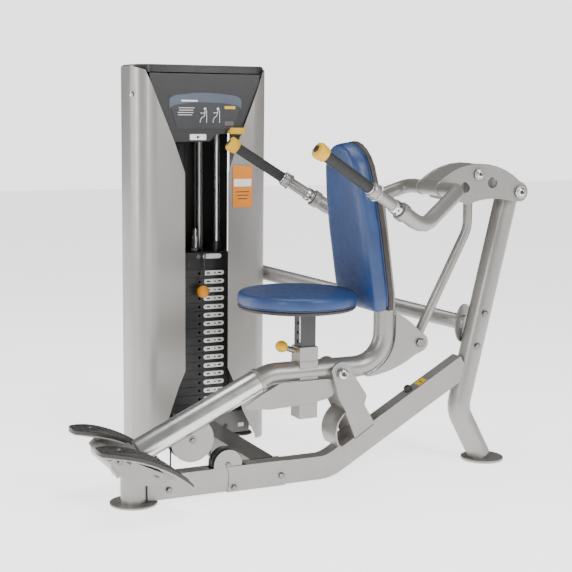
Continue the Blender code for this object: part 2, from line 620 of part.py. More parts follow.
def cables():
    """Moving loop on the carriage, fixed run to the tower top, drop to the stack, lanyard."""
    r1, r2, r3 = (seat_of(r) for r in (CARRIAGE_PULLEY_R, RAIL_PULLEY_R, TOP_PULLEY_R))
    (y1, z1), (y2, z2) = CARRIAGE_PULLEY.yz, RAIL_PULLEY.yz
    on_rail = [Vector((0, *p)) for p in arc(y2, z2, r2, 186, 270, 6)]
    loop = [Vector((0, y1 - r1, 0.024))]
    loop += [Vector((0, *p)) for p in arc(y1, z1, r1, 180, 4, 11)]
    tube("cable_front", loop + [on_rail[0] + Vector((0, 0, 0.0012))], CABLE_R, BLACK, 8)
    run_z = z2 - r2
    x3, z3 = TOP_PULLEY.x, TOP_PULLEY.z
    route = on_rail + bent([(0, y2 + 0.002, run_z), (0, 0.452, run_z),
                            (x3 - r3, TOWER_Y, run_z), (x3 - r3, TOWER_Y, z3)],
                           [0.034, 0.034], math.radians(18))
    route += [Vector((x3 + a, TOWER_Y, z3 + b)) for a, b in arc(0, 0, r3, 172, 0, 9)]
    route.append(route[-1] - Vector((0, 0, 0.004)))
    tube("cable_low", route, CABLE_R, BLACK, 8)
    rod("cable_lift", (x3 + r3, TOWER_Y, 0.765 + GAP), (x3 + r3, TOWER_Y, z3 - 0.004 - GAP),
        CABLE_R, BLACK, 8)
    tube("pin_lanyard", [Vector(p) for p in LANYARD], 0.003, BLACK, 8)


# ---------------------------------------------------------------- carriage
def chrome_axis(y):
    return Vector((0, y, JOINT_Z + (y - JOINT_Y) * math.tan(CHROME_SLOPE)))


def carriage_tubes():
    front, back = chrome_axis(0.030), chrome_axis(JOINT_Y)
    foot_tube = rod("foot_tube", front, back, CHROME_R, CHROME, 24, pivot=PIVOT)
    along = Vector((0, math.cos(CHROME_SLOPE), math.sin(CHROME_SLOPE)))
    nose = chrome_axis(0.198)
    down = Vector((0, math.sin(CHROME_SLOPE), -math.cos(CHROME_SLOPE)))
    near = nose + along * (CARRIAGE_PULLEY - nose).dot(along)
    slot = box("foot_tube_slot", near + down * 0.03, (0.031, 0.146, 0.05), None,
               Matrix.Rotation(CHROME_SLOPE, 4, 'X'))
    bore = rod("foot_tube_bore", front + along * 0.06, back - along * 0.06,
               CHROME_R - 0.004, None, 24)
    cut(foot_tube, bore, slot)

    bend_y = JOINT_Y + (SEAT_TUBE_Z - JOINT_Z) / math.tan(CHROME_SLOPE)
    bend, corner = Vector((0, bend_y, SEAT_TUBE_Z)), Vector((0, *BACK_BEND))
    knee = Vector((0, BACK_BEND[0], 0.590))
    top = knee + Vector((0, -math.tan(BACK_TILT), 1)) * (BACK_TOP_Z - knee.z)
    path = bent([back + along * GAP, bend, corner, knee, top], [0.09, 0.105, 0.2])
    main = tube("carriage_tube", path, TUBE_R, SILVER, 20, PIVOT)
    hole = box("receiver_hole", (0, SEAT_POST_Y, 0.34),
               (RECEIVER_W + 2 * GAP, RECEIVER_W + 2 * GAP, 0.3), None)
    collar = rod("tube_collar", back + along * GAP, back + along * 0.012, 0.0408, None, 24)
    hub = rod("pivot_hub", on_x(PIVOT, -0.049), on_x(PIVOT, 0.049), 0.020, None, 24)
    join(main, collar, hub)
    cut(main, hole, drill("carriage_pivot_bore", PIVOT.yz, 0.0115, -0.08, 0.08, 20))
    rod("pivot_bolt", on_x(PIVOT, -0.066), on_x(PIVOT, 0.066), 0.0110, CHROME, 20,
        pivot=PIVOT)


def seat_mount():
    w, (low, high) = RECEIVER_W, RECEIVER_Z
    receiver = box("seat_receiver", (0, SEAT_POST_Y, (low + high) / 2), (w, w, high - low),
                   SILVER, pivot=PIVOT)
    bore = box("receiver_bore", (0, SEAT_POST_Y, 0.34),
               (SEAT_POST_W + 0.002, SEAT_POST_W + 0.002, 0.5), None)
    shaft = Vector((0, SEAT_POST_Y - w / 2, 0.430))
    pull = Vector((0, -math.cos(PIN_TILT), math.sin(PIN_TILT)))
    outline = [(0.366, 0.2765), (0.432, 0.314), (0.452, 0.322), (0.485, 0.3395),
               (0.660, 0.3395), (0.681, 0.288), (0.640, 0.272), (0.540, 0.262),
               (0.451, 0.258), (0.373, 0.266)]
    outline = rounded(outline, [0.004, 0.03, 0.03, 0.02, 0.004, 0.02, 0.08, 0, 0.08, 0.004])
    gussets = [side("seat_gusset_" + tag, [outline], x, x + 0.005, None)
               for tag, x in (("left", 0.0354), ("right", -0.0404))]
    web = box("gusset_web", (0, SEAT_POST_Y, 0.285), (0.078, 0.05, 0.02), None)
    join(receiver, web, *gussets)
    cut(receiver, bore, rod("pop_pin_port", shaft + pull * 0.05, shaft - pull * 0.012, 0.0062,
                            None, 16))
    turned("pop_pin", [(0, 0.073), (0.009, 0.0715), (0.0165, 0.064), (0.019, 0.053),
                       (0.0165, 0.042), (0.011, 0.036), (0.0085, 0.034), (0.0085, 0.006),
                       (0.0055, 0.0052), (0.0055, -0.004), (0, -0.006)],
           shaft, pull, YELLOW, 20, pivot=shaft)
    post_low = 0.352
    post = box("seat_post", (0, SEAT_POST_Y, (SEAT_C.z - GAP + post_low) / 2),
               (SEAT_POST_W, SEAT_POST_W, SEAT_C.z - GAP - post_low), STEEL_DARK)
    notches = [rod(f"post_notch_{i}", (0, SEAT_POST_Y - 0.04, shaft.z + i * 0.03),
                   (0, SEAT_POST_Y - SEAT_POST_W / 2 + 0.010, shaft.z + i * 0.03), 0.0062,
                   None, 12) for i in range(4)]
    cut(post, *notches)
    turned("seat_base", [(0, SEAT_TRIM_T), (SEAT_R - 0.002, SEAT_TRIM_T),
                         (SEAT_R, SEAT_TRIM_T - 0.003), (SEAT_R - 0.004, 0.003),
                         (SEAT_R - 0.02, 0), (0, 0)], SEAT_C, (0, 0, 1), TRIM, 32)
    turned("seat_pad", [(0, SEAT_PAD_T), (SEAT_R - 0.03, SEAT_PAD_T),
                        (SEAT_R - 0.009, SEAT_PAD_T - 0.004), (SEAT_R, SEAT_PAD_T - 0.014),
                        (SEAT_R, 0.004), (SEAT_R - 0.004, GAP), (0, GAP)],
           SEAT_C + Vector((0, 0, SEAT_TRIM_T)), (0, 0, 1), BLUE, 32)


def lugs():
    """Twin plates behind the carriage tube that hold the link's lower end."""
    r = 0.105 + 0.0268
    centre = (BACK_BEND[0] - 0.105, BACK_BEND[1] + 0.105)
    inner = arc(*centre, r, -82, 0, 9)
    y, z = LINK_LOW.yz
    outline = ([(centre[0] + r, 0.540), (0.909, 0.534)] + arc3((0.93, 0.522), (0.968, 0.494),
                                                               (0.999, 0.4645), 4)
               + arc(y, z, 0.0315, 60, -62, 6)
               + arc3((0.975, 0.391), (0.905, 0.3545), (0.800, 0.3325), 6) + inner)
    for name, hand in (("link_lug_left", 1), ("link_lug_right", -1)):
        side(name, [outline, ring(y, z, 0.0088)], hand * LUG_X0, hand * (LUG_X0 + LUG_T),
             SILVER, PIVOT)
    rod("link_low_bolt", on_x(LINK_LOW, -0.044), on_x(LINK_LOW, 0.044), 0.0085, CHROME, 20,
        pivot=PIVOT)


def backrest():
    tilt = Matrix.Rotation(BACK_TILT, 4, 'X')
    stand = Matrix(((1, 0, 0, 0), (0, 0, -1, 0), (0, 1, 0, 0), (0, 0, 0, 1)))
    w = BACK_W / 2
    outline = ([(-w + 0.012, -0.04), (w - 0.012, -0.04), (w - 0.001, 0.0), (w, 0.10),
                (w, 0.22), (w - 0.008, 0.32)]
               + arc(0, BACK_LEN - 0.04 - 0.115, 0.115, 20, 160, 9)
               + [(-w + 0.008, 0.32), (-w, 0.22), (-w, 0.10), (-w + 0.001, 0.0)])
    ref = Matrix.Translation(BACK_REF) @ tilt @ stand
    board = flat("backrest_board", [outline], BACK_BOARD_T,
                 ref @ Matrix.Translation((0, 0, -BACK_BOARD_T / 2)), TRIM, PIVOT)
    pad = flat("backrest_pad", [outline], BACK_T - GAP,
               ref @ Matrix.Translation((0, 0, BACK_T / 2 + GAP / 2)), BLUE, PIVOT)
    soften = pad.modifiers.new("Bevel", 'BEVEL')
    soften.width = 0.016
    soften.segments = 2
    soften.limit_method = 'ANGLE'
    soften.angle_limit = math.radians(60)
    return board, pad


def pedals():
    """Curved foot plates, their brackets, side plates and cross bars."""
    curve = arc3((-0.138, 0.2165), (0.0, 0.186), (0.151, 0.083), 9)
    for name, hand in (("foot_plate_left", 1), ("foot_plate_right", -1)):
        profile = curve + [(y - 0.003, z - PEDAL_T) for y, z in reversed(curve)]
        plate = side(name, [profile], hand * PEDAL_X - PEDAL_W / 2,
                     hand * PEDAL_X + PEDAL_W / 2, PEDAL_GREY, PIVOT)
        keep = level(name + "_shape", [[(hand * PEDAL_X + x, y) for x, y in pedal_plan()]],
                     -0.1, 0.5, None)
        mod = plate.modifiers.new("Shape", 'BOOLEAN')
        mod.operation, mod.solver, mod.object = 'INTERSECT', 'EXACT', keep
        bowl = arc3((-0.092, 0.172), (0.008, 0.087), (0.110, 0.098), 8)
        under = [(y - 0.004, z - PEDAL_T - 0.004) for y, z in curve if -0.09 < y < 0.11]
        x0 = hand * 0.105
        wall = side(name.replace("foot_plate", "foot_side"), [bowl + under[::-1]], x0,
                    x0 + hand * 0.006, SILVER, PIVOT)
        shelf = box(name + "_shelf", (hand * 0.136, 0.004, 0.150), (0.056, 0.110, 0.012), None,
                    Matrix.Rotation(math.radians(-26), 4, 'X'))
        join(wall, shelf)
    bar = rod("foot_crossbar", (-0.1047, -0.062, 0.152), (0.1047, -0.062, 0.152), 0.025,
              SILVER, 24, pivot=PIVOT)
    along = Matrix.Rotation(CHROME_SLOPE, 4, 'X')
    neck = box("crossbar_neck", chrome_axis(-0.018), (0.056, 0.086, 0.062), None, along)
    low_bar = rod("foot_crossbar_low", (-0.1047, 0.051, 0.1115), (0.1047, 0.051, 0.1115), 0.012,
                  None, 16)
    strap = box("crossbar_strap", (0, -0.004, 0.1225), (0.05, 0.12, 0.008), None,
                Matrix.Rotation(math.radians(-11), 4, 'X'))
    join(bar, neck, low_bar, strap)


def pedal_plan():
    """Plan of a foot plate as (x, y): a broad leaf with rounded toe and heel."""
    half = PEDAL_W / 2
    points = []
    for i in range(26):
        a = 2 * math.pi * i / 26
        c, s = math.cos(a), math.sin(a)
        points.append((half * math.copysign(abs(c) ** 0.62, c),
                       0.005 + 0.146 * math.copysign(abs(s) ** 0.80, s)))
    return points


def carriage_pulley():
    y, z = CARRIAGE_PULLEY.yz
    near, far = (side(name, [ring(y, z, 0.070, 28)], x, x + 0.005, spec, PIVOT)
                 for name, x, spec in (("pulley_cover", 0.0165, SILVER),
                                       ("pulley_cover_far", -0.0215, None)))
    trim = rod("cover_tube_trim", chrome_axis(0.02), chrome_axis(0.42), CHROME_R + GAP, None, 28)
    above = box("cover_above", chrome_axis(0.198) + Vector((0, 0, 0.05)), (0.2, 0.4, 0.1), None,
                Matrix.Rotation(CHROME_SLOPE, 4, 'X'))
    axle = rod("cover_axle", on_x(CARRIAGE_PULLEY, -0.019), on_x(CARRIAGE_PULLEY, 0.019),
               0.0056, None, 12)
    join(near, far, axle)
    cut(near, trim, above)


# ---------------------------------------------------------------- rocker, link, handles
def rocker():
    top = arc3((1.030, 0.955), (1.195, 1.018), (1.352, 0.958), 10)
    y, z = ROCKER.yz
    nose = arc(y, z, 0.033, 60, -75, 6)
    under = arc3((1.322, 0.892), (1.25, 0.9015), (1.178, 0.894), 6)
    outline = top + nose + under + [(1.150, 0.883), (1.128, 0.8915), (1.078, 0.902)]
    holes = [ring(1.137, 0.941, 0.018), ring(1.243, 0.955, 0.0185), ring(y, z, 0.0108, 16)]
    frame, other = (side("rocker_" + tag, [outline] + holes, x, x + ROCKER_T, spec, ROCKER)
                    for tag, x, spec in (("frame", ROCKER_HALF_W - ROCKER_T, SILVER),
                                         ("far_plate", -ROCKER_HALF_W, None)))
    x = ROCKER_HALF_W - 0.003
    cover_top = arc3((1.034, 0.957), (1.195, 1.0165), (1.330, 0.973), 8)
    cover_low = arc3((1.037, 0.951), (1.195, 1.0115), (1.327, 0.968), 8)
    cover = side("rocker_cover", [cover_top + cover_low[::-1]], -x, x, None)
    link_bolt = rod("link_top_bolt", on_x(LINK_TOP, -0.066), on_x(LINK_TOP, 0.066), 0.0085,
                    None, 16)
    join(frame, cover, other, link_bolt)
    cut(frame, rod("rocker_tube_cut", (-0.1, *CROSS), (0.1, *CROSS), ARM_R + GAP, None, 24))


def grip_axis():
    return (GRIP_TIP - ARM_END).normalized()


def arm_path():
    """Left half of the arm tube's corners: cross tube, drop, then up to the handle."""
    aim = grip_axis()
    low = ARM_END - aim * 0.102
    return [Vector((0.158, *CROSS)), low, ARM_END]


def mirrored(point):
    return Vector((-point.x, point.y, point.z))


def arms():
    half = arm_path()
    points = [mirrored(p) for p in reversed(half)] + half
    bar = tube("arm_tube", bent(points, [0.075, 0.055, 0.055, 0.075], math.radians(18)), ARM_R,
               SILVER, 16, ROCKER)
    for i, (base, aim) in enumerate(((ARM_END, grip_axis()),
                                     (mirrored(ARM_END), mirrored(grip_axis())))):
        join(bar, turned(f"arm_collar_{i}", [(0, 0.0025), (0.0285, 0.0025), (0.0285, -0.018),
                                             (0.0262, -0.022), (0, -0.022)], base, aim, None,
                         24))


def handle(tag, hand):
    """Rotating handle: notched sleeve, chrome collar, grip and two-lobed end cap."""
    flip = (lambda p: p) if hand > 0 else mirrored
    base, aim = flip(ARM_END), flip(grip_axis())
    sleeve = turned("handle_sleeve_" + tag,
                    [(0, 0.318), (0.0115, 0.318), (0.0115, 0.1285), (0.0225, 0.1285),
                     (0.0245, 0.125), (0.0245, 0.104), (0.0225, 0.1005), (0.0185, 0.1),
                     (0.0185, 0.0035), (0, 0.0035)], base, aim, SILVER, 24, pivot=base)
    grip = turned("handle_grip_" + tag, [(0.0118, 0.317), (0.0172, 0.317), (0.0172, 0.129),
                                         (0.0118, 0.129), (0.0118, 0.317)], base, aim, BLACK,
                  24, pivot=base)
    cap = turned("handle_cap_" + tag, [(0, 0.3535), (0.016, 0.3535), (0.0225, 0.3505),
                                       (0.0255, 0.344), (0.0245, 0.332), (0.0225, 0.3183),
                                       (0, 0.3183)], base, aim, YELLOW, 24, pivot=base)
    return sleeve, grip, cap


def link():
    low, bend, top = LINK_LOW, Vector((0, 1.188, 0.800)), LINK_TOP
    bar = tube("link_tube", bent([low + (bend - low).normalized() * 0.012, bend,
                                  top - Vector((0, 0, 0.012))], [0.09]), 0.016, SILVER, 16,
               LINK_TOP)
    for tag, place, radius in (("low", low, 0.0205), ("top", top, 0.019)):
        join(bar, rod(f"link_eye_{tag}", on_x(place, -0.023), on_x(place, 0.023), radius, None,
                      24))
    cut(bar, drill("link_low_bore", low.yz, 0.0140, -0.05, 0.05),
        drill("link_top_bore", top.yz, 0.0087, -0.05, 0.05))


base_frame()
pivot_bracket()
rear_tie()
cross_beam()
tower()
weight_stack()
addon_lever()
carriage_tubes()
seat_mount()
lugs()
backrest()
pedals()
carriage_pulley()
pulley("carriage_pulley", CARRIAGE_PULLEY, (1, 0, 0), CARRIAGE_PULLEY_R)
pulley("rail_pulley", RAIL_PULLEY, (1, 0, 0), RAIL_PULLEY_R)
pulley("top_pulley", TOP_PULLEY, (0, 1, 0), TOP_PULLEY_R)
cables()
rocker()
arms()
handle("left", 1)
handle("right", -1)
link()
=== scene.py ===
"""Looks of the seated dip machine: materials, cushions, fasteners, labels, light and camera.

Every place is given in the machine's own axes (X across, Y towards the back, Z up, metres)
and moved by `at()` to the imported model, whose rocker pivot fixes where the machine stands.
"""
import json
import math

import bmesh
import bpy
from mathutils import Matrix, Vector


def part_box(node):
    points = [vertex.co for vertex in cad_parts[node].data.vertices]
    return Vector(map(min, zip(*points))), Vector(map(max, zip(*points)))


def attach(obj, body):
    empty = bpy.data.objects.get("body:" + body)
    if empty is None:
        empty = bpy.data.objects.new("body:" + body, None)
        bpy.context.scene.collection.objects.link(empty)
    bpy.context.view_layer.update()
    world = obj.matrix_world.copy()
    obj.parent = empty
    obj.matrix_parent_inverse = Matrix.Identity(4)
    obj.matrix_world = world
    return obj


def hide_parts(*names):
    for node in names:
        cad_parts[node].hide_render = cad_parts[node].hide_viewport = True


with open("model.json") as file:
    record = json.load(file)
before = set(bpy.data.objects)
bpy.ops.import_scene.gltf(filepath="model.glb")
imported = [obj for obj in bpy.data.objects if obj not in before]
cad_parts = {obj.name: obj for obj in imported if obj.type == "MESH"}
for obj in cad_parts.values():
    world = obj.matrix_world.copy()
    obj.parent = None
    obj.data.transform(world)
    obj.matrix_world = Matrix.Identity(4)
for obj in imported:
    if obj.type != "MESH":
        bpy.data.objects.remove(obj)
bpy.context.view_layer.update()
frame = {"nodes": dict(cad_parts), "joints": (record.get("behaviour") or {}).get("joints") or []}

# ------------------------------------------------------------ driving dimensions
ROCKER = Vector((0, 1.352, 0.922))
LINK_TOP = Vector((0, 1.186, 0.984))
LINK_LOW = Vector((0, 0.994, 0.432))
PIVOT = Vector((0, 0.693, 0.357))
CARRIAGE_PULLEY = Vector((0, 0.198, 0.183))
RAIL_SLOPE = math.radians(29.7)
POST_KNEE, POST_HEAD = Vector((0, 1.169, 0.186)), Vector((0, 1.3494, 0.940))
POST_LEAN = (POST_HEAD.y - POST_KNEE.y) / (POST_HEAD.z - POST_KNEE.z)
PIN_TILT = math.radians(20)
TOWER_Y, STACK_X = 0.465, -0.645
STACK_FRONT = STACK_X + 0.045
STACK_BASE, PLATE_PITCH, PLATE_T = 0.108, 0.0304, 0.0294
PLATES, RESTING = 17, 14
PANEL_FRONT = -0.543
SEAT_R = 0.188
BACK_TILT = math.radians(8.5)
BACK_LEN, BACK_W, BACK_T = 0.535, 0.27, 0.058
LANYARD_R = 0.003
PEDAL_X, PEDAL_W = 0.140, 0.132
LENS, SENSOR = 79.55, 36.0


def place_of(joint):
    found = next(j for j in frame["joints"] if j["name"] == joint)
    return Vector(found["pos_m"])


DATUM = place_of("rocker_pivot") - ROCKER


def at(x, y, z):
    return Vector((x, y, z)) + DATUM


# ------------------------------------------------------------ materials
def shader(name, base, rough=0.5, metallic=0.0, coat=0.0):
    """A Principled material and the handles that the finishes below work on."""
    mat = bpy.data.materials.new(name)
    mat.use_nodes = True
    nodes, links = mat.node_tree.nodes, mat.node_tree.links
    body = nodes["Principled BSDF"]
    body.inputs["Base Color"].default_value = (*base, 1)
    body.inputs["Roughness"].default_value = rough
    body.inputs["Metallic"].default_value = metallic
    body.inputs["Coat Weight"].default_value = coat
    body.inputs["Coat Roughness"].default_value = 0.12
    place = nodes.new("ShaderNodeTexCoord").outputs["Object"]
    return mat, nodes, links, body, place


def noise(nodes, links, place, scale, detail=4.0):
    tex = nodes.new("ShaderNodeTexNoise")
    tex.inputs["Scale"].default_value = scale
    tex.inputs["Detail"].default_value = detail
    links.new(place, tex.inputs["Vector"])
    return tex.outputs["Fac"]


def spread(nodes, links, fac, low, high):
    """Maps a texture's middle range to low..high."""
    ramp = nodes.new("ShaderNodeMapRange")
    for key, value in (("From Min", 0.3), ("From Max", 0.7), ("To Min", low), ("To Max", high)):
        ramp.inputs[key].default_value = value
    links.new(fac, ramp.inputs["Value"])
    return ramp.outputs["Result"]


def tint(nodes, links, fac, dark, light, target):
    mix = nodes.new("ShaderNodeMix")
    mix.data_type = 'RGBA'
    mix.inputs["A"].default_value = (*dark, 1)
    mix.inputs["B"].default_value = (*light, 1)
    links.new(spread(nodes, links, fac, 0, 1), mix.inputs["Factor"])
    links.new(mix.outputs["Result"], target)


def relief(nodes, links, height, depth, body, edge=0.0):
    """Bump of the given depth in metres; edge rounds sharp corners in the shading."""
    bump = nodes.new("ShaderNodeBump")
    bump.inputs["Distance"].default_value = depth
    links.new(height, bump.inputs["Height"])
    if edge:
        soft = nodes.new("ShaderNodeBevel")
        soft.samples = 4
        soft.inputs["Radius"].default_value = edge
        links.new(soft.outputs["Normal"], bump.inputs["Normal"])
    links.new(bump.outputs["Normal"], body.inputs["Normal"])


def shade(base, factor):
    return tuple(min(1.0, c * factor) for c in base)


def powder_coat(name, base, rough=0.36, metallic=0.25, edge=0.0012):
    """Sprayed powder: a faint orange peel, and a slow drift of colour and gloss."""
    mat, nodes, links, body, place = shader(name, base, rough, metallic, 0.15)
    drift = noise(nodes, links, place, 5.0)
    tint(nodes, links, drift, shade(base, 0.96), shade(base, 1.04), body.inputs["Base Color"])
    links.new(spread(nodes, links, noise(nodes, links, place, 12.0), rough - 0.03, rough + 0.04),
              body.inputs["Roughness"])
    relief(nodes, links, noise(nodes, links, place, 520.0, 2.0), 0.00006, body, edge)
    return mat


def plated(name, base, rough=0.07):
    """Satin plating with slow patches of gloss."""
    mat, nodes, links, body, place = shader(name, base, rough, 1.0)
    patches = noise(nodes, links, place, 25.0)
    links.new(spread(nodes, links, patches, rough, rough + 0.05), body.inputs["Roughness"])
    tint(nodes, links, noise(nodes, links, place, 6.0), shade(base, 0.96), shade(base, 1.03),
         body.inputs["Base Color"])
    return mat


def vinyl(name, base):
    """Upholstery vinyl: pebbled grain and slightly uneven colour."""
    mat, nodes, links, body, place = shader(name, base, 0.42, 0.0, 0.12)
    cells = nodes.new("ShaderNodeTexVoronoi")
    cells.feature = 'SMOOTH_F1'
    cells.inputs["Scale"].default_value = 620.0
    links.new(place, cells.inputs["Vector"])
    soft = noise(nodes, links, place, 14.0)
    tint(nodes, links, soft, shade(base, 0.86), shade(base, 1.14), body.inputs["Base Color"])
    links.new(spread(nodes, links, noise(nodes, links, place, 60.0), 0.36, 0.50),
              body.inputs["Roughness"])
    relief(nodes, links, cells.outputs["Distance"], 0.0005, body)
    return mat


def moulded(name, base, rough=0.5, coat=0.0, grain=700.0, depth=0.00015, edge=0.001):
    """Moulded plastic or rubber with a fine cast grain."""
    mat, nodes, links, body, place = shader(name, base, rough, 0.0, coat)
    tint(nodes, links, noise(nodes, links, place, 12.0), shade(base, 0.88), shade(base, 1.12),
         body.inputs["Base Color"])
    links.new(spread(nodes, links, noise(nodes, links, place, 90.0), rough - 0.05, rough + 0.08),
              body.inputs["Roughness"])
    relief(nodes, links, noise(nodes, links, place, grain, 3.0), depth, body, edge)
    return mat


def braided(name, base):
    """Cable jacket: fine slanting bands."""
    mat, nodes, links, body, place = shader(name, base, 0.45, 0.0, 0.2)
    wave = nodes.new("ShaderNodeTexWave")
    wave.bands_direction = 'DIAGONAL'
    wave.inputs["Scale"].default_value = 180.0
    links.new(place, wave.inputs["Vector"])
    tint(nodes, links, wave.outputs["Fac"], shade(base, 0.7), shade(base, 1.4),
         body.inputs["Base Color"])
    relief(nodes, links, wave.outputs["Fac"], 0.0002, body)
    return mat


SILVER = powder_coat("silver_powder_coat", (0.290, 0.277, 0.262), 0.37, 0.60)
BLACK_STEEL = powder_coat("black_powder_coat", (0.030, 0.030, 0.032), 0.42, 0.1)
BASE_GREY = powder_coat("grey_powder_coat", (0.11, 0.105, 0.10), 0.45, 0.4)
IRON = powder_coat("painted_plates", (0.014, 0.014, 0.014), 0.45, 0.15)
CHROME = plated("chrome_plate", (0.62, 0.61, 0.60), 0.27)
ZINC = plated("zinc_bolt", (0.20, 0.195, 0.19), 0.26)
VINYL = vinyl("blue_vinyl", (0.006, 0.032, 0.120))
PIPING = vinyl("dark_blue_piping", (0.005, 0.022, 0.080))
TRIM = moulded("brown_black_trim", (0.024, 0.018, 0.015), 0.55)
YELLOW = moulded("yellow_plastic", (0.60, 0.33, 0.0), 0.45, 0.0, 300.0, 0.00005)
AMBER = moulded("amber_plastic", (0.58, 0.21, 0.0), 0.40, 0.0, 300.0, 0.00005)
FOAM = moulded("grip_foam", (0.012, 0.011, 0.011), 0.62, 0.0, 900.0, 0.0005)
RUBBER = moulded("black_rubber", (0.018, 0.018, 0.018), 0.65, 0.0, 500.0)
NYLON = moulded("black_nylon", (0.022, 0.022, 0.023), 0.40, 0.1)
CHARCOAL = moulded("charcoal_plastic", (0.014, 0.014, 0.015), 0.40, 0.1, 900.0, 0.0002)
PEDAL = moulded("grey_pedal_rubber", (0.030, 0.028, 0.026), 0.5, 0.1, 600.0, 0.0003)
PLACARD = moulded("placard_blue_grey", (0.060, 0.078, 0.108), 0.4, 0.1)
PLACARD_DARK = moulded("placard_dark", (0.022, 0.023, 0.026), 0.4, 0.1)
PAPER = moulded("white_label", (0.72, 0.72, 0.70), 0.45, 0.1)
ORANGE = moulded("orange_label", (0.62, 0.19, 0.004), 0.5, 0.0)
FLAG = moulded("yellow_label", (0.75, 0.45, 0.005), 0.45, 0.0)
WIRE = braided("cable_jacket", (0.020, 0.020, 0.020))

FINISH = {
    SILVER: ["base_rail", "rail_sleeve", "front_leg", "rear_post", "tie_tube", "pivot_bracket",
             "shroud_front", "shroud_rear", "carriage_tube", "seat_receiver", "link_lug_left",
             "link_lug_right", "foot_side_left", "foot_side_right", "foot_crossbar",
             "pulley_cover", "rocker_frame", "arm_tube", "handle_sleeve_left",
             "handle_sleeve_right", "link_tube"],
    CHROME: ["foot_tube", "pivot_bolt", "link_low_bolt", "guide_rod_front", "guide_rod_rear",
             "rear_upright", "selector_stem"],
    BLACK_STEEL: ["top_crossmember", "seat_post"],
    BASE_GREY: ["tower_base", "tower_foot", "cross_beam"],
    IRON: ["weights_picked", "weights_resting", "top_plate"],
    TRIM: ["seat_base", "backrest_board"],
    YELLOW: ["handle_cap_left", "handle_cap_right", "addon_lever", "pop_pin"],
    AMBER: ["selector_pin"],
    FOAM: ["handle_grip_left", "handle_grip_right"],
    RUBBER: ["bumper"],
    NYLON: ["carriage_pulley", "rail_pulley", "top_pulley"],
    CHARCOAL: ["tower_back", "top_cap", "placard_panel"],
    PEDAL: ["foot_plate_left", "foot_plate_right"],
    WIRE: ["cable_front", "cable_lift", "cable_low"],
}


def dress_cad_nodes():
    """Gives every CAD node its finish; welded and split at real edges, it shades round."""
    for mat, names in FINISH.items():
        for name in names:
            node = frame["nodes"][name]
            node.data.materials.clear()
            node.data.materials.append(mat)
            for face in node.data.polygons:
                face.use_smooth = True
            weld = node.modifiers.new("Weld", 'WELD')
            weld.merge_threshold = 0.00002
            split = node.modifiers.new("Edges", 'EDGE_SPLIT')
            split.split_angle = math.radians(38)


# ------------------------------------------------------------ building pieces
def piece(name, bm, mat, body, smooth=35.0):
    """Turns a bmesh in the row frame into a piece that rides on a body."""
    mesh = bpy.data.meshes.new(name)
    bm.normal_update()
    bm.to_mesh(mesh)
    bm.free()
    obj = bpy.data.objects.new(name, mesh)
    bpy.context.scene.collection.objects.link(obj)
    mesh.materials.append(mat)
    mesh.shade_smooth()
    mesh.set_sharp_from_angle(angle=math.radians(smooth))
    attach(obj, body)
    return obj


def turn_to(axis):
    return Vector(axis).to_track_quat('Z', 'Y').to_matrix().to_4x4()


def lathe(bm, profile, base, axis, steps=24):
    """Adds a turned solid: profile is (radius, height) along axis from base."""
    matrix = Matrix.Translation(base) @ turn_to(axis)
    rings = []
    for radius, height in profile:
        if radius < 1e-6:
            rings.append([bm.verts.new(matrix @ Vector((0, 0, height)))])
            continue
        rings.append([bm.verts.new(matrix @ Vector((radius * math.cos(a), radius * math.sin(a),
                                                    height)))
                      for a in (2 * math.pi * i / steps for i in range(steps))])
    for low, high in zip(rings, rings[1:]):
        for i in range(steps):
            j = (i + 1) % steps
            corners = [low[i % len(low)], low[j % len(low)], high[j % len(high)],
                       high[i % len(high)]]
            corners = [v for k, v in enumerate(corners) if v not in corners[:k]]
            if len(corners) > 2:
                bm.faces.new(corners)


def hex_head(bm, base, axis, across, height):
    """Adds a bolt's hexagon head with a crowned top."""
    lathe(bm, [(0, 0), (across * 0.577, 0), (across * 0.577, height * 0.8),
               (across * 0.48, height), (0, height)], base, axis, 6)


def bolt(name, place, axis, across, body, washer=0.0, mat=None, cap=False):
    """A bolt head, or a flanged cap nut, on its washer."""
    bm = bmesh.new()
    place, axis = at(*place), Vector(axis).normalized()
    lift = 0.0002
    if washer:
        lathe(bm, [(0, lift), (washer, lift), (washer, lift + 0.0017),
                   (washer - 0.0008, lift + 0.0024), (0, lift + 0.0024)], place, axis, 28)
        lift += 0.0025
    if cap:
        r = across / 2
        dome = [(r * math.cos(a), lift + 0.002 + r * 0.5 * math.sin(a))
                for a in (math.radians(d) for d in range(0, 60, 12))]
        lip, floor_z = dome[-1][0] * 0.92, lift + 0.0025
        lathe(bm, [(0, lift), (r, lift)] + dome + [(lip, dome[-1][1]), (lip, floor_z),
                                                   (0, floor_z)], place, axis, 24)
        # The cap's hex recess is a flat black hexagon: painted shade where the recess would fall
        # dark.
        socket_shade = bmesh.new()
        lathe(socket_shade, [(0, 0.0002), (r * 0.46, 0.0002), (r * 0.46, 0.0012), (0, 0.0012)],
              place + axis * floor_z, axis, 6)
        piece(name + "_socket", socket_shade, NYLON, body)
    else:
        hex_head(bm, place + axis * lift, axis, across, across * 0.42)
    return piece(name, bm, mat or ZINC, body)


def rounded_card(bm, width, height, radius, thick, steps=5):
    """Adds a flat card in its own XY plane, with rounded corners, standing thick in Z."""
    outline = []
    for cx, cy, start in ((1, 1, 0), (-1, 1, 90), (-1, -1, 180), (1, -1, 270)):
        for i in range(steps + 1):
            a = math.radians(start + 90 * i / steps)
            outline.append((cx * (width / 2 - radius) + radius * math.cos(a),
                            cy * (height / 2 - radius) + radius * math.sin(a)))
    extrude_outline(bm, outline, thick)


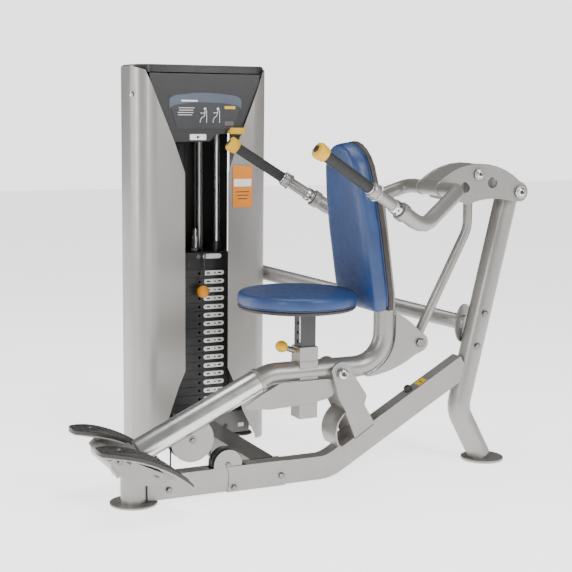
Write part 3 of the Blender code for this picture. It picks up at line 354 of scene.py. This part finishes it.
def extrude_outline(bm, outline, thick, z0=0.0):
    low = [bm.verts.new((x, y, z0)) for x, y in outline]
    high = [bm.verts.new((x, y, z0 + thick)) for x, y in outline]
    bm.faces.new(reversed(low))
    bm.faces.new(high)
    for i in range(len(low)):
        j = (i + 1) % len(low)
        bm.faces.new((low[i], low[j], high[j], high[i]))


def facing(axis, up):
    """A matrix that turns a card's own Z to axis and its Y to up."""
    z = Vector(axis).normalized()
    x = Vector(up).cross(z).normalized()
    return Matrix((x, z.cross(x), z)).transposed().to_4x4()


def card(name, place, axis, up, size, radius, mat, body, thick=0.0006):
    bm = bmesh.new()
    rounded_card(bm, *size, radius, thick)
    bm.transform(Matrix.Translation(at(*place)) @ facing(axis, up))
    return piece(name, bm, mat, body)


def wire(name, points, radius, mat, body, closed=False, sides=3):
    """A smooth round wire through points of the machine's axes."""
    curve = bpy.data.curves.new(name, 'CURVE')
    curve.dimensions = '3D'
    curve.bevel_depth = radius
    curve.bevel_resolution = sides
    curve.use_fill_caps = True
    spline = curve.splines.new('NURBS')
    spline.points.add(len(points) - 1)
    for point, place in zip(spline.points, points):
        point.co = (*at(*place), 1)
    spline.use_endpoint_u = not closed
    spline.use_cyclic_u = closed
    spline.order_u = 3
    curve.materials.append(mat)
    obj = bpy.data.objects.new(name, curve)
    bpy.context.scene.collection.objects.link(obj)
    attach(obj, body)
    return obj


def bead(name, points, body, radius=0.0022, closed=False):
    """A weld bead along a joint."""
    return wire(name, points, radius, SILVER, body, closed, 2)


# ------------------------------------------------------------ cushions
def inflate(obj, pressure, cap, voxel):
    """Swells a closed shape into an upholstered cushion with cloth under air pressure."""
    scene = bpy.context.scene
    remesh = obj.modifiers.new("Remesh", 'REMESH')
    remesh.mode, remesh.voxel_size = 'VOXEL', voxel
    apply_modifiers(obj)
    rest = [v.co.copy() for v in obj.data.vertices]
    cloth = obj.modifiers.new("Cloth", 'CLOTH')
    cloth.settings.use_pressure = True
    cloth.settings.uniform_pressure_force = pressure
    cloth.settings.effector_weights.gravity = 0
    cloth.settings.quality = 5
    for i in range(1, 17):
        scene.frame_set(i)
    apply_modifiers(obj)
    scene.frame_set(1)
    for vertex, start in zip(obj.data.vertices, rest):
        move = vertex.co - start
        if move.length > cap:
            vertex.co = start + move.normalized() * cap
    smooth = obj.modifiers.new("Smooth", 'SMOOTH')
    smooth.factor, smooth.iterations = 0.5, 14
    apply_modifiers(obj)


def apply_modifiers(obj):
    graph = bpy.context.evaluated_depsgraph_get()
    mesh = bpy.data.meshes.new_from_object(obj.evaluated_get(graph))
    obj.modifiers.clear()
    old, obj.data = obj.data, mesh
    bpy.data.meshes.remove(old)


def settle_flat(obj):
    """Keeps the cushion's underside flat on its board."""
    for vertex in obj.data.vertices:
        vertex.co.z = max(vertex.co.z, 0.0)


def fit_inside(obj, low, high):
    """Scales the cushion to fill the CAD pad's size."""
    local = [v.co.copy() for v in obj.data.vertices]
    small = [min(p[i] for p in local) for i in range(3)]
    large = [max(p[i] for p in local) for i in range(3)]
    for vertex, p in zip(obj.data.vertices, local):
        vertex.co = Vector([low[i] + (p[i] - small[i]) * (high[i] - low[i])
                            / (large[i] - small[i]) for i in range(3)])


def cushion(name, outline, thick, matrix, node, body, crown):
    """An upholstered pad: flat back, upright sides, and an edge that rolls in to the face."""
    bm = bmesh.new()
    n = len(outline)
    centre = Vector((sum(x for x, _ in outline) / n, sum(y for _, y in outline) / n))
    levels = [(0.992, 0.0), (0.998, 0.06), (1.0, 0.15), (1.0, 0.50), (0.998, 0.74),
              (0.990, 0.85), (0.970, 0.93), (0.93, 0.965), (0.70, 0.985), (0.35, 1.0)]
    rings = [[bm.verts.new((centre.x + (x - centre.x) * s, centre.y + (y - centre.y) * s,
                            thick * h)) for x, y in outline] for s, h in levels]
    bm.faces.new(reversed(rings[0]))
    bm.faces.new(rings[-1])
    for low, high in zip(rings, rings[1:]):
        for i in range(n):
            j = (i + 1) % n
            bm.faces.new((low[i], low[j], high[j], high[i]))
    mesh = bpy.data.meshes.new(name)
    bm.to_mesh(mesh)
    bm.free()
    obj = bpy.data.objects.new(name, mesh)
    bpy.context.scene.collection.objects.link(obj)
    low = [min(p[i] for p in outline) for i in range(2)] + [0.0]
    high = [max(p[i] for p in outline) for i in range(2)] + [thick]
    inflate(obj, crown, 0.006, 0.0055)
    settle_flat(obj)
    fit_inside(obj, low, high)
    obj.data.transform(matrix)
    subdivide(obj, 1)
    obj.data.materials.clear()
    obj.data.materials.append(VINYL)
    obj.data.shade_smooth()
    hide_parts(node)
    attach(obj, body)
    return obj


def subdivide(obj, levels):
    mod = obj.modifiers.new("Subdivision", 'SUBSURF')
    mod.levels = mod.render_levels = levels


def seam(name, outline, height, matrix, scale, body, mat, radius=0.0026):
    """Piping that follows a cushion's outline at one height."""
    n = len(outline)
    cx, cy = sum(x for x, _ in outline) / n, sum(y for _, y in outline) / n
    spots = [matrix @ Vector((cx + (x - cx) * scale, cy + (y - cy) * scale, height)) - DATUM
             for x, y in outline]
    return wire(name, spots, radius, mat, body, closed=True)


def circle(radius, count):
    return [(radius * math.cos(a), radius * math.sin(a))
            for a in (2 * math.pi * i / count for i in range(count))]


def arc(cx, cy, radius, start, end, count):
    return [(cx + radius * math.cos(a), cy + radius * math.sin(a))
            for a in (math.radians(start + (end - start) * i / count)
                      for i in range(count + 1))]


def cushions():
    low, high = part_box("seat_pad")
    thick = high.z - low.z
    seat = Matrix.Translation(Vector(((low.x + high.x) / 2, (low.y + high.y) / 2, low.z)))
    round_outline = circle(SEAT_R, 48)
    cushion("seat_cushion", round_outline, thick, seat, "seat_pad", "seat", 0.4)
    seam("seat_piping", circle(SEAT_R, 40), 0.0035, seat, 0.985, "seat", PIPING)

    w = BACK_W / 2
    crown = arc(0, BACK_LEN - 0.04 - 0.115, 0.115, 20, 160, 14)
    outline = ([(-w + 0.012, -0.04), (0, -0.041), (w - 0.012, -0.04), (w - 0.001, 0.0),
                (w, 0.06), (w, 0.12), (w, 0.22), (w - 0.008, 0.32)]
               + crown
               + [(-w + 0.008, 0.32), (-w, 0.22), (-w, 0.12), (-w, 0.06), (-w + 0.001, 0.0)])
    stand = Matrix(((1, 0, 0, 0), (0, 0, -1, 0), (0, 1, 0, 0), (0, 0, 0, 1)))
    back = (Matrix.Translation(at(0, 0.816, 0.60)) @ Matrix.Rotation(BACK_TILT, 4, 'X') @ stand
            @ Matrix.Translation((0, 0, 0.0006)))
    cushion("backrest_cushion", outline, BACK_T - 0.001, back, "backrest_pad", "carriage", 0.4)
    seam("backrest_piping", outline, 0.0035, back, 0.985, "carriage", PIPING)


# ------------------------------------------------------------ fasteners and small fittings
def fasteners():
    rail_side, sleeve_side = 0.0254, 0.0284
    for i, (x, y, z) in enumerate(((rail_side, 0.119, 0.036), (sleeve_side, 0.333, 0.019),
                                   (sleeve_side, 0.496, 0.038))):
        bolt(f"rail_bolt_{i}", (x, y, z), (1, 0, 0), 0.016, "frame", 0.0105)
        bolt(f"rail_bolt_far_{i}", (-x, y, z), (-1, 0, 0), 0.016, "frame", 0.0105)
    for tag, hand in (("left", 1), ("right", -1)):
        bolt(f"rocker_bolt_{tag}", (hand * 0.0665, *ROCKER.yz), (hand, 0, 0), 0.030, "frame",
             0.021, CHROME, True)
        bolt(f"link_top_nut_{tag}", (hand * 0.0662, *LINK_TOP.yz), (hand, 0, 0), 0.026,
             "rocker", 0.018, CHROME, True)
        bolt(f"pivot_nut_{tag}", (hand * 0.0662, *PIVOT.yz), (hand, 0, 0), 0.034, "frame",
             0.0, CHROME, True)
        bolt(f"link_low_nut_{tag}", (hand * 0.0335, *LINK_LOW.yz), (hand, 0, 0), 0.027,
             "carriage", 0.0, ZINC)
        bolt(f"cover_bolt_{tag}", (hand * 0.0216, CARRIAGE_PULLEY.y, 0.183), (hand, 0, 0),
             0.014, "carriage", 0.012, ZINC)
        for k, (y, z) in enumerate(((-0.063, 0.167), (0.051, 0.113))):
            bolt(f"foot_bolt_{tag}_{k}", (hand * 0.1112, y, z), (hand, 0, 0), 0.013, "carriage",
                 0.010, ZINC, k == 1)
        bolt(f"rail_pulley_bolt_{tag}", (hand * 0.0250, 0.315, 0.093), (hand, 0, 0), 0.014,
             "frame", 0.0, ZINC)
    aim = Vector((1, -0.28, 0.0))
    side = Vector((0.0379, -0.005, 0))
    for k, z in enumerate((0.514, 0.405)):
        y = POST_KNEE.y + (z - POST_KNEE.z) * POST_LEAN
        bolt(f"post_bolt_{k}", (side.x, y + side.y, z), aim, 0.017, "frame", 0.0115, ZINC)
    bolt("shroud_screw", (-0.604, 0.2185, 1.235), (0.25, -1, 0), 0.012, "frame", 0.009, CHROME,
         True)
    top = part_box("top_plate")[1].z - 0.035
    bolt("stem_lock_nut", (STACK_X, TOWER_Y, top - 0.0002), (0, 0, 1), 0.034, "stack", 0.0, ZINC)


def welds():
    """Weld beads where tubes and plates meet."""
    for i, x in enumerate((0.0365, -0.0365)):
        bead(f"gusset_bead_{i}", [(x, 0.46, 0.3385), (x, 0.50, 0.3402), (x, 0.52, 0.3402),
                                  (x, 0.553, 0.3402)], "carriage", 0.0018)
    half, top = 0.0322, 0.3985
    bead("receiver_bead", [(half, 0.5565, top), (half, 0.588, top), (half, 0.6195, top)],
         "carriage", 0.0020)
    for tag, x in (("left", 0.057), ("right", -0.057)):
        a, b = Vector((x, 0.7455, 0.1375)), Vector((x, 0.8135, 0.179))
        bead(f"bracket_bead_{tag}", [a, (a + b) / 2, b], "frame", 0.0022)
    y = 1.048
    for tag, x in (("left", 0.0605), ("right", -0.0605)):
        ring = [(x, y + 0.0248 * math.cos(a), 0.938 + 0.0248 * math.sin(a))
                for a in (2 * math.pi * i / 18 for i in range(18))]
        bead(f"cross_bead_{tag}", ring, "rocker", 0.0020, True)


def pedal_point(hand, turn, scale, curve, lift):
    """A point of the foot plate's outline, shrunk by scale, on the curved plate."""
    c, s = math.cos(turn), math.sin(turn)
    x = PEDAL_W / 2 * math.copysign(abs(c) ** 0.62, c) * scale
    y = 0.005 + 0.146 * math.copysign(abs(s) ** 0.80, s) * scale
    k = min(range(len(curve) - 1), key=lambda i: abs(curve[i][0] + curve[i + 1][0] - 2 * y))
    (y0, z0), (y1, z1) = curve[k], curve[k + 1]
    z = z0 + (z1 - z0) * (y - y0) / (y1 - y0)
    return (hand * PEDAL_X + x, y, z + lift)


def pedal_ribs():
    """Moulded contour ribs on the foot plates, and the bright steel edge below them."""
    curve = arc_through((-0.138, 0.2165), (0.0, 0.186), (0.151, 0.083), 40)
    for tag, hand in (("left", 1), ("right", -1)):
        for k, scale in enumerate((0.88, 0.74, 0.60, 0.46, 0.32, 0.18)):
            points = [pedal_point(hand, 2 * math.pi * i / 36, scale, curve, 0.0002)
                      for i in range(36)]
            wire(f"pedal_rib_{tag}_{k}", points, 0.0024, PEDAL, "carriage", True,
                 1)
        rim = [pedal_point(hand, 2 * math.pi * i / 44, 0.985, curve, -0.0125) for i in range(44)]
        wire(f"pedal_rim_{tag}", rim, 0.0028, SILVER, "carriage", True, 2)
        for k, y in enumerate((-0.075, 0.070)):
            z = next(z1 for (y1, z1) in curve if y1 > y)
            bolt(f"pedal_bolt_{tag}_{k}", (hand * PEDAL_X, y, z + 0.0012), (0, 0.35, 1), 0.010,
                 "carriage", 0.0075, ZINC, True)


def arc_through(a, b, c, count):
    """Points of the circular arc from a through b to c."""
    (ax, ay), (bx, by), (cx, cy) = a, b, c
    d = 2 * (ax * (by - cy) + bx * (cy - ay) + cx * (ay - by))
    ux = ((ax * ax + ay * ay) * (by - cy) + (bx * bx + by * by) * (cy - ay)
          + (cx * cx + cy * cy) * (ay - by)) / d
    uy = ((ax * ax + ay * ay) * (cx - bx) + (bx * bx + by * by) * (ax - cx)
          + (cx * cx + cy * cy) * (bx - ax)) / d
    r = math.hypot(ax - ux, ay - uy)
    start = math.atan2(ay - uy, ax - ux)
    end = math.atan2(cy - uy, cx - ux)
    turn = (end - start + math.pi) % (2 * math.pi) - math.pi
    return [(ux + r * math.cos(start + turn * i / count),
             uy + r * math.sin(start + turn * i / count)) for i in range(count + 1)]


def grips():
    """The chrome collars at the ends of the foam grips, and the faces of the sleeves."""
    tip, end = Vector((0.32, 0.474, 1.069)), Vector((0.29, 0.757, 0.892))
    for tag, hand in (("left", 1), ("right", -1)):
        base = Vector((hand * end.x, end.y, end.z))
        axis = (Vector((hand * tip.x, tip.y, tip.z)) - base).normalized()
        bm = bmesh.new()
        lathe(bm, [(0.0170, 0.1288), (0.0190, 0.1292), (0.0195, 0.1315), (0.0190, 0.1338),
                   (0.0170, 0.1342)], base + DATUM, axis, 28)
        lathe(bm, [(0.0184, 0.1002), (0.0262, 0.1010), (0.0266, 0.1035), (0.0250, 0.1045)],
              base + DATUM, axis, 28)
        piece(f"grip_collar_{tag}", bm, CHROME, f"handle_{tag}", 60)
        handle_face(tag, base + DATUM, axis)


def handle_face(tag, base, axis):
    """The end cap's dark face with its ring, and the chrome barrel by the collar, whose notches
    are black discs of painted shade.
    """
    body = f"handle_{tag}"
    bm = bmesh.new()
    lathe(bm, [(0, 0.3537), (0.0115, 0.3537), (0.0115, 0.3550), (0.0095, 0.3556), (0, 0.3552)],
          base, axis, 24)
    piece(f"cap_face_{tag}", bm, NYLON, body)
    bm = bmesh.new()
    lathe(bm, [(0.0052, 0.3554), (0.0052, 0.3560), (0.0068, 0.3560), (0.0068, 0.3554)], base,
          axis, 24)
    piece(f"cap_ring_{tag}", bm, ZINC, body)
    bm = bmesh.new()
    lathe(bm, [(0.0186, 0.0060), (0.0215, 0.0065), (0.0220, 0.0085), (0.0220, 0.0300),
               (0.0215, 0.0320), (0.0186, 0.0325)], base, axis, 32)
    piece(f"detent_barrel_{tag}", bm, CHROME, body)
    # The notches are flat black discs on the barrel surface: painted shade for recesses that are
    # not cut.
    bm = bmesh.new()
    side = axis.orthogonal().normalized()
    for i in range(10):
        out = Matrix.Rotation(2 * math.pi * i / 10, 3, axis) @ side
        lathe(bm, [(0, 0.0219), (0.0038, 0.0219), (0.0038, 0.0223), (0, 0.0223)],
              base + axis * 0.0193, out, 12)
    piece(f"detent_notch_shade_{tag}", bm, NYLON, body)


# ------------------------------------------------------------ tower details
def plate_marks():
    """A pale pill on each plate beside its pin hole, and the head plate's marks."""
    for i in range(PLATES):
        z = STACK_BASE + i * PLATE_PITCH + PLATE_T / 2
        body = "frame" if i < RESTING else "stack"
        pill = TOWER_Y + 0.0545
        card(f"plate_mark_{i:02d}", (STACK_FRONT + 0.0001, pill, z), (1, 0, 0), (0, 0, 1),
             (0.078, 0.0165), 0.0080, PAPER, body, 0.0004)
        for k, (y, wide) in enumerate(((pill - 0.021, 0.013), (pill + 0.004, 0.006),
                                       (pill + 0.022, 0.012))):
            card(f"plate_mark_{i:02d}_tick_{k}", (STACK_FRONT + 0.0006, y, z), (1, 0, 0),
                 (0, 0, 1), (wide, 0.0050), 0.0015, IRON, body, 0.0002)
        bm = bmesh.new()
        lathe(bm, [(0.0050, 0.0001), (0.0050, 0.0006), (0.0068, 0.0006), (0.0068, 0.0001)],
              at(STACK_FRONT, TOWER_Y, z), (1, 0, 0), 20)
        piece(f"pin_hole_rim_{i:02d}", bm, NYLON, body)
    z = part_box("top_plate")[0].z + 0.044
    card("head_label", (STACK_FRONT + 0.0001, TOWER_Y + 0.048, z), (1, 0, 0), (0, 0, 1),
         (0.070, 0.017), 0.008, PAPER, "stack", 0.0004)
    for k, (y, dz) in enumerate(((-0.040, -0.026), (-0.004, 0.0), (0.016, -0.026))):
        bm = bmesh.new()
        lathe(bm, [(0, 0.0001), (0.0075, 0.0001), (0.0070, 0.0009), (0, 0.0009)],
              at(STACK_FRONT, TOWER_Y + y, z + dz), (1, 0, 0), 20)
        piece(f"head_screw_{k}", bm, ZINC if k == 1 else NYLON, "stack")
    card("head_groove", (STACK_FRONT + 0.0001, TOWER_Y, z - 0.013), (1, 0, 0), (0, 0, 1),
         (0.222, 0.0012), 0.0005, NYLON, "stack", 0.0002)


def panel_cards():
    """The placard: an arched band over a dark card with plain sketches, and its tags."""
    x = PANEL_FRONT + 0.0002
    y0, y1, z0, z1 = 0.330, 0.600, 1.119, 1.243
    wide = y1 - y0
    corner = [0.011, 0.004, 0.001]
    drop = corner + [0.0] * 27 + corner[::-1]
    top = [(wide * (0.5 - i / 32), z1 - 0.012 * (1 - math.sin(math.pi * i / 32)) - drop[i])
           for i in range(33)]
    taper = 0.030
    outline = ([(p[0], p[1] - z0) for p in top]
               + [(-wide / 2 + taper, 0.0), (wide / 2 - taper, 0.0)])
    frame_turn = facing((1, 0, 0), (0, 0, 1))
    centre = at(x, (y0 + y1) / 2, z0)
    bm = bmesh.new()
    extrude_outline(bm, [(-a, b) for a, b in reversed(outline)], 0.0012)
    bm.transform(Matrix.Translation(centre) @ frame_turn)
    piece("placard_card", bm, PLACARD_DARK, "frame")
    band_low = [(a * 0.985, b - 0.034) for a, b in ((p[0], p[1] - z0) for p in top)]
    band = [(p[0] * 0.985, p[1] - z0 - 0.002) for p in top] + band_low[::-1]
    bm = bmesh.new()
    extrude_outline(bm, [(-a, b) for a, b in reversed(band)], 0.0006, 0.0013)
    bm.transform(Matrix.Translation(centre) @ frame_turn)
    piece("placard_band", bm, PLACARD, "frame")
    front = x + 0.0014
    card("placard_title", (front + 0.0007, 0.405, 1.214), (1, 0, 0), (0, 0, 1), (0.060, 0.006),
         0.002, PAPER, "frame", 0.0003)
    card("placard_tag_yellow", (front, 0.555, 1.192), (1, 0, 0), (0, 0, 1), (0.040, 0.010),
         0.002, FLAG, "frame", 0.0004)
    card("placard_tag_grey", (front, 0.552, 1.137), (1, 0, 0), (0, 0, 1), (0.034, 0.014),
         0.002, BASE_GREY, "frame", 0.0004)
    for k in range(4):
        card(f"placard_line_{k}", (front, 0.395 - 0.002 * k, 1.190 - k * 0.008), (1, 0, 0),
             (0, 0, 1), (0.058 - 0.006 * (k % 2), 0.0022), 0.001, PAPER, "frame", 0.0003)
    for k, y in enumerate((0.462, 0.510)):
        sketch(f"sketch_{k}", front + 0.0003, y, 1.160, k)
    card("arrow_plate", (PANEL_FRONT + 0.0002, 0.437, 1.0905), (1, 0, 0), (0, 0, 1),
         (0.060, 0.020), 0.003, PAPER, "frame", 0.0008)
    bm = bmesh.new()
    extrude_outline(bm, [(-0.005, -0.006), (0.007, 0.0), (-0.005, 0.006)], 0.0005)
    bm.transform(Matrix.Translation(at(PANEL_FRONT + 0.0011, 0.437, 1.0905)) @ frame_turn)
    piece("arrow_mark", bm, PLACARD_DARK, "frame")


def sketch(name, x, y, z, raised):
    """A plain line figure on a seat, as a diagram has."""
    lean = 0.004 if raised else 0.0
    lines = [[(0, 0.020), (lean, 0.0), (0.016, -0.002), (0.018, -0.020)],
             [(0.001, 0.016), (0.012, 0.008 + lean), (0.016, 0.014)],
             [(-0.006, 0.022), (-0.006, -0.020)]]
    for k, line in enumerate(lines):
        points = [(x, y - a, z + b) for a, b in line]
        wire(f"{name}_line_{k}", points, 0.0011, PAPER, "frame", False, 1)
    bm = bmesh.new()
    lathe(bm, [(0, 0), (0.0045, 0), (0.0045, 0.0006), (0, 0.0006)], at(x - 0.0002, y, z + 0.027),
          (1, 0, 0), 20)
    piece(f"{name}_head", bm, PAPER, "frame")


def tower_trim():
    """Labels on the shroud, rail and base, a hole in the base, and a levelling screw."""
    card("orange_label", (-0.5288, 0.5985, 0.9185), (1, 0, 0.0), (0, 0, 1), (0.074, 0.145),
         0.004, ORANGE, "frame", 0.0005)
    card("orange_label_band", (-0.5282, 0.5985, 0.932), (1, 0, 0), (0, 0, 1), (0.066, 0.026),
         0.002, PAPER, "frame", 0.0003)
    for k in range(3):
        card(f"orange_label_line_{k}", (-0.5282, 0.5985, 0.900 - 0.012 * k), (1, 0, 0),
             (0, 0, 1), (0.052 - 0.008 * k, 0.003), 0.001, PLACARD_DARK, "frame", 0.0003)
    up = Vector((0, -math.sin(RAIL_SLOPE), math.cos(RAIL_SLOPE)))
    along = Vector((0, math.cos(RAIL_SLOPE), math.sin(RAIL_SLOPE)))
    low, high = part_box("bumper")
    foot = (low + high) / 2 - DATUM
    spot = foot + along * 0.052 - up * 0.0078
    card("rail_sticker", spot, up, along, (0.034, 0.034), 0.003, FLAG, "frame", 0.0005)
    card("rail_sticker_mark", spot + up * 0.0006, up, along, (0.018, 0.004), 0.001,
         PLACARD_DARK, "frame", 0.0003)
    card("base_label", (-0.6122, 0.632, 0.041), (1, 0, 0), (0, 0, 1), (0.022, 0.014), 0.002,
         PAPER, "frame", 0.0005)
    # The hole in the base is a flat black disc: painted shade, not a cut hole.
    bm = bmesh.new()
    lathe(bm, [(0, 0.0001), (0.0085, 0.0001), (0.0085, 0.0006), (0, 0.0006)],
          at(-0.6124, 0.571, 0.042), (1, 0, 0), 24)
    piece("base_hole_shade", bm, RUBBER, "frame")
    bm = bmesh.new()
    lathe(bm, [(0, 0), (0.0065, 0), (0.0065, 0.010), (0, 0.010)], at(-0.648, 0.643, 0.0135),
          (0, 0, 1), 16)
    piece("levelling_screw", bm, ZINC, "frame")


def side_hook():
    """A small black hook on the rear shroud."""
    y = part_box("shroud_rear")[1].y - DATUM.y
    wire("side_hook", [(-0.655, y + 0.001, 1.212), (-0.655, y + 0.006, 1.212),
                       (-0.655, y + 0.012, 1.204), (-0.655, y + 0.012, 1.186),
                       (-0.655, y + 0.008, 1.178), (-0.655, y + 0.003, 1.176)], 0.004, NYLON,
         "frame")


def lanyard():
    """The selector pin's thin lanyard, along the CAD route."""
    route = [(-0.5990, 0.4800, 0.6850), (-0.5945, 0.4800, 0.6848), (-0.5900, 0.4799, 0.6828),
             (-0.5865, 0.4797, 0.6790), (-0.5848, 0.4795, 0.6740), (-0.5842, 0.4790, 0.6660),
             (-0.5832, 0.4781, 0.6520), (-0.5812, 0.4768, 0.6370), (-0.5787, 0.4750, 0.6220),
             (-0.5757, 0.4728, 0.6070), (-0.5722, 0.4703, 0.5920), (-0.5692, 0.4680, 0.5805),
             (-0.5672, 0.4665, 0.5722)]
    spots = [at(*p) for p in route]
    curve = bpy.data.curves.new("selector_lanyard", 'CURVE')
    curve.dimensions = '3D'
    curve.bevel_depth = LANYARD_R
    curve.bevel_resolution = 3
    curve.use_fill_caps = True
    line = curve.splines.new('POLY')
    line.points.add(len(spots) - 1)
    for point, spot in zip(line.points, spots):
        point.co = (*spot, 1)
    curve.materials.append(WIRE)
    obj = bpy.data.objects.new("selector_lanyard", curve)
    bpy.context.scene.collection.objects.link(obj)
    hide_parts("pin_lanyard")
    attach(obj, "stack")


def pop_pin_barrel():
    """The steel barrel between the pop pin's knob and the receiver."""
    base = at(0, 0.5565, 0.430)
    bm = bmesh.new()
    lathe(bm, [(0.0086, 0.008), (0.0092, 0.0085), (0.0092, 0.0335), (0.0086, 0.034)],
          base, Vector((0, -math.cos(PIN_TILT), math.sin(PIN_TILT))), 24)
    piece("pop_pin_barrel", bm, ZINC, "pop_pin")


def seat_post_scale():
    """The height scale on the seat post: a pale strip with tick marks."""
    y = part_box("seat_post")[0].y - DATUM.y
    card("post_strip", (0.0165, y - 0.0001, 0.510), (0, -1, 0), (0, 0, 1), (0.010, 0.100), 0.002,
         PAPER, "seat", 0.0004)
    for k in range(6):
        card(f"post_tick_{k}", (0.0165, y - 0.0006, 0.468 + k * 0.017), (0, -1, 0), (0, 0, 1),
             (0.006, 0.0022), 0.0008, PLACARD_DARK, "seat", 0.0003)


# ------------------------------------------------------------ light, floor and camera
def backdrop():
    """An even world: dim where it lights the object, pale where the camera sees it."""
    world = bpy.data.worlds.new("studio")
    world.use_nodes = True
    bpy.context.scene.world = world
    nodes, links = world.node_tree.nodes, world.node_tree.links
    soft = nodes["Background"]
    soft.inputs["Color"].default_value = (1.0, 1.0, 1.0, 1)
    soft.inputs["Strength"].default_value = 0.16
    seen = nodes.new("ShaderNodeBackground")
    seen.inputs["Color"].default_value = (1.0, 1.0, 1.0, 1)
    seen.inputs["Strength"].default_value = 2.5
    mix = nodes.new("ShaderNodeMixShader")
    links.new(nodes.new("ShaderNodeLightPath").outputs["Is Camera Ray"], mix.inputs["Fac"])
    links.new(soft.outputs["Background"], mix.inputs[1])
    links.new(seen.outputs["Background"], mix.inputs[2])
    links.new(mix.outputs["Shader"], nodes["World Output"].inputs["Surface"])


def studio_floor():
    bm = bmesh.new()
    bmesh.ops.create_grid(bm, x_segments=2, y_segments=2, size=14)
    mesh = bpy.data.meshes.new("floor")
    bm.to_mesh(mesh)
    bm.free()
    floor = bpy.data.objects.new("floor", mesh)
    floor.location.z = -0.0005
    bpy.context.scene.collection.objects.link(floor)
    mat, nodes, links, body, place = shader("studio_floor", (0.93, 0.93, 0.93), 0.7)
    body.inputs["Emission Color"].default_value = (1, 1, 1, 1)
    body.inputs["Emission Strength"].default_value = 1.9
    tint(nodes, links, noise(nodes, links, place, 1.5), (0.92, 0.92, 0.92), (0.94, 0.94, 0.94),
         body.inputs["Base Color"])
    mesh.materials.append(mat)
    return floor


def softboxes():
    """Large soft lamps: a key, one in front, one on the left and a wide one overhead."""
    lamps = []
    centre = Vector((0, 0, 0.6))
    for name, spot, size, power in (("key", (3.0, 1.2, 2.6), (0.9, 2.4), 95),
                                    ("front", (2.4, -3.0, 2.0), (0.7, 2.4), 75),
                                    ("left", (-2.2, -3.2, 1.6), (0.6, 2.4), 60),
                                    ("top", (0.0, 0.0, 3.8), (1.8, 2.2), 80)):
        lamp = bpy.data.lights.new(name, 'AREA')
        lamp.shape = 'RECTANGLE'
        lamp.energy, (lamp.size, lamp.size_y) = power, size
        obj = bpy.data.objects.new(name, lamp)
        obj.location = spot
        obj.rotation_euler = (centre - Vector(spot)).to_track_quat('-Z', 'Y').to_euler()
        bpy.context.scene.collection.objects.link(obj)
        lamps.append(obj)
    return lamps


def studio():
    backdrop()
    studio_floor()
    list(softboxes())


def camera():
    """A long lens, 8 degrees down, seen from the front left of the seated user."""
    azimuth, pitch, roll = (math.radians(v) for v in (64.6, 8.01, 0.556))
    view = Vector((-math.sin(azimuth) * math.cos(pitch), math.cos(azimuth) * math.cos(pitch),
                   -math.sin(pitch)))
    lens = bpy.data.cameras.new("camera")
    lens.lens, lens.sensor_width = LENS, SENSOR
    cam = bpy.data.objects.new("camera", lens)
    flat_right = Vector((math.cos(azimuth), math.sin(azimuth), 0))
    flat_up = flat_right.cross(view)
    right = flat_right * math.cos(roll) + flat_up * math.sin(roll)
    up = flat_up * math.cos(roll) - flat_right * math.sin(roll)
    turn = Matrix((right, up, -view)).transposed().to_4x4()
    cam.matrix_world = Matrix.Translation(at(3.544, -1.163, 1.192)) @ turn
    bpy.context.scene.collection.objects.link(cam)
    bpy.context.scene.camera = cam


camera()
lanyard()
dress_cad_nodes()
cushions()
fasteners()
welds()
pedal_ribs()
grips()
plate_marks()
panel_cards()
tower_trim()
pop_pin_barrel()
seat_post_scale()
side_hook()
studio()
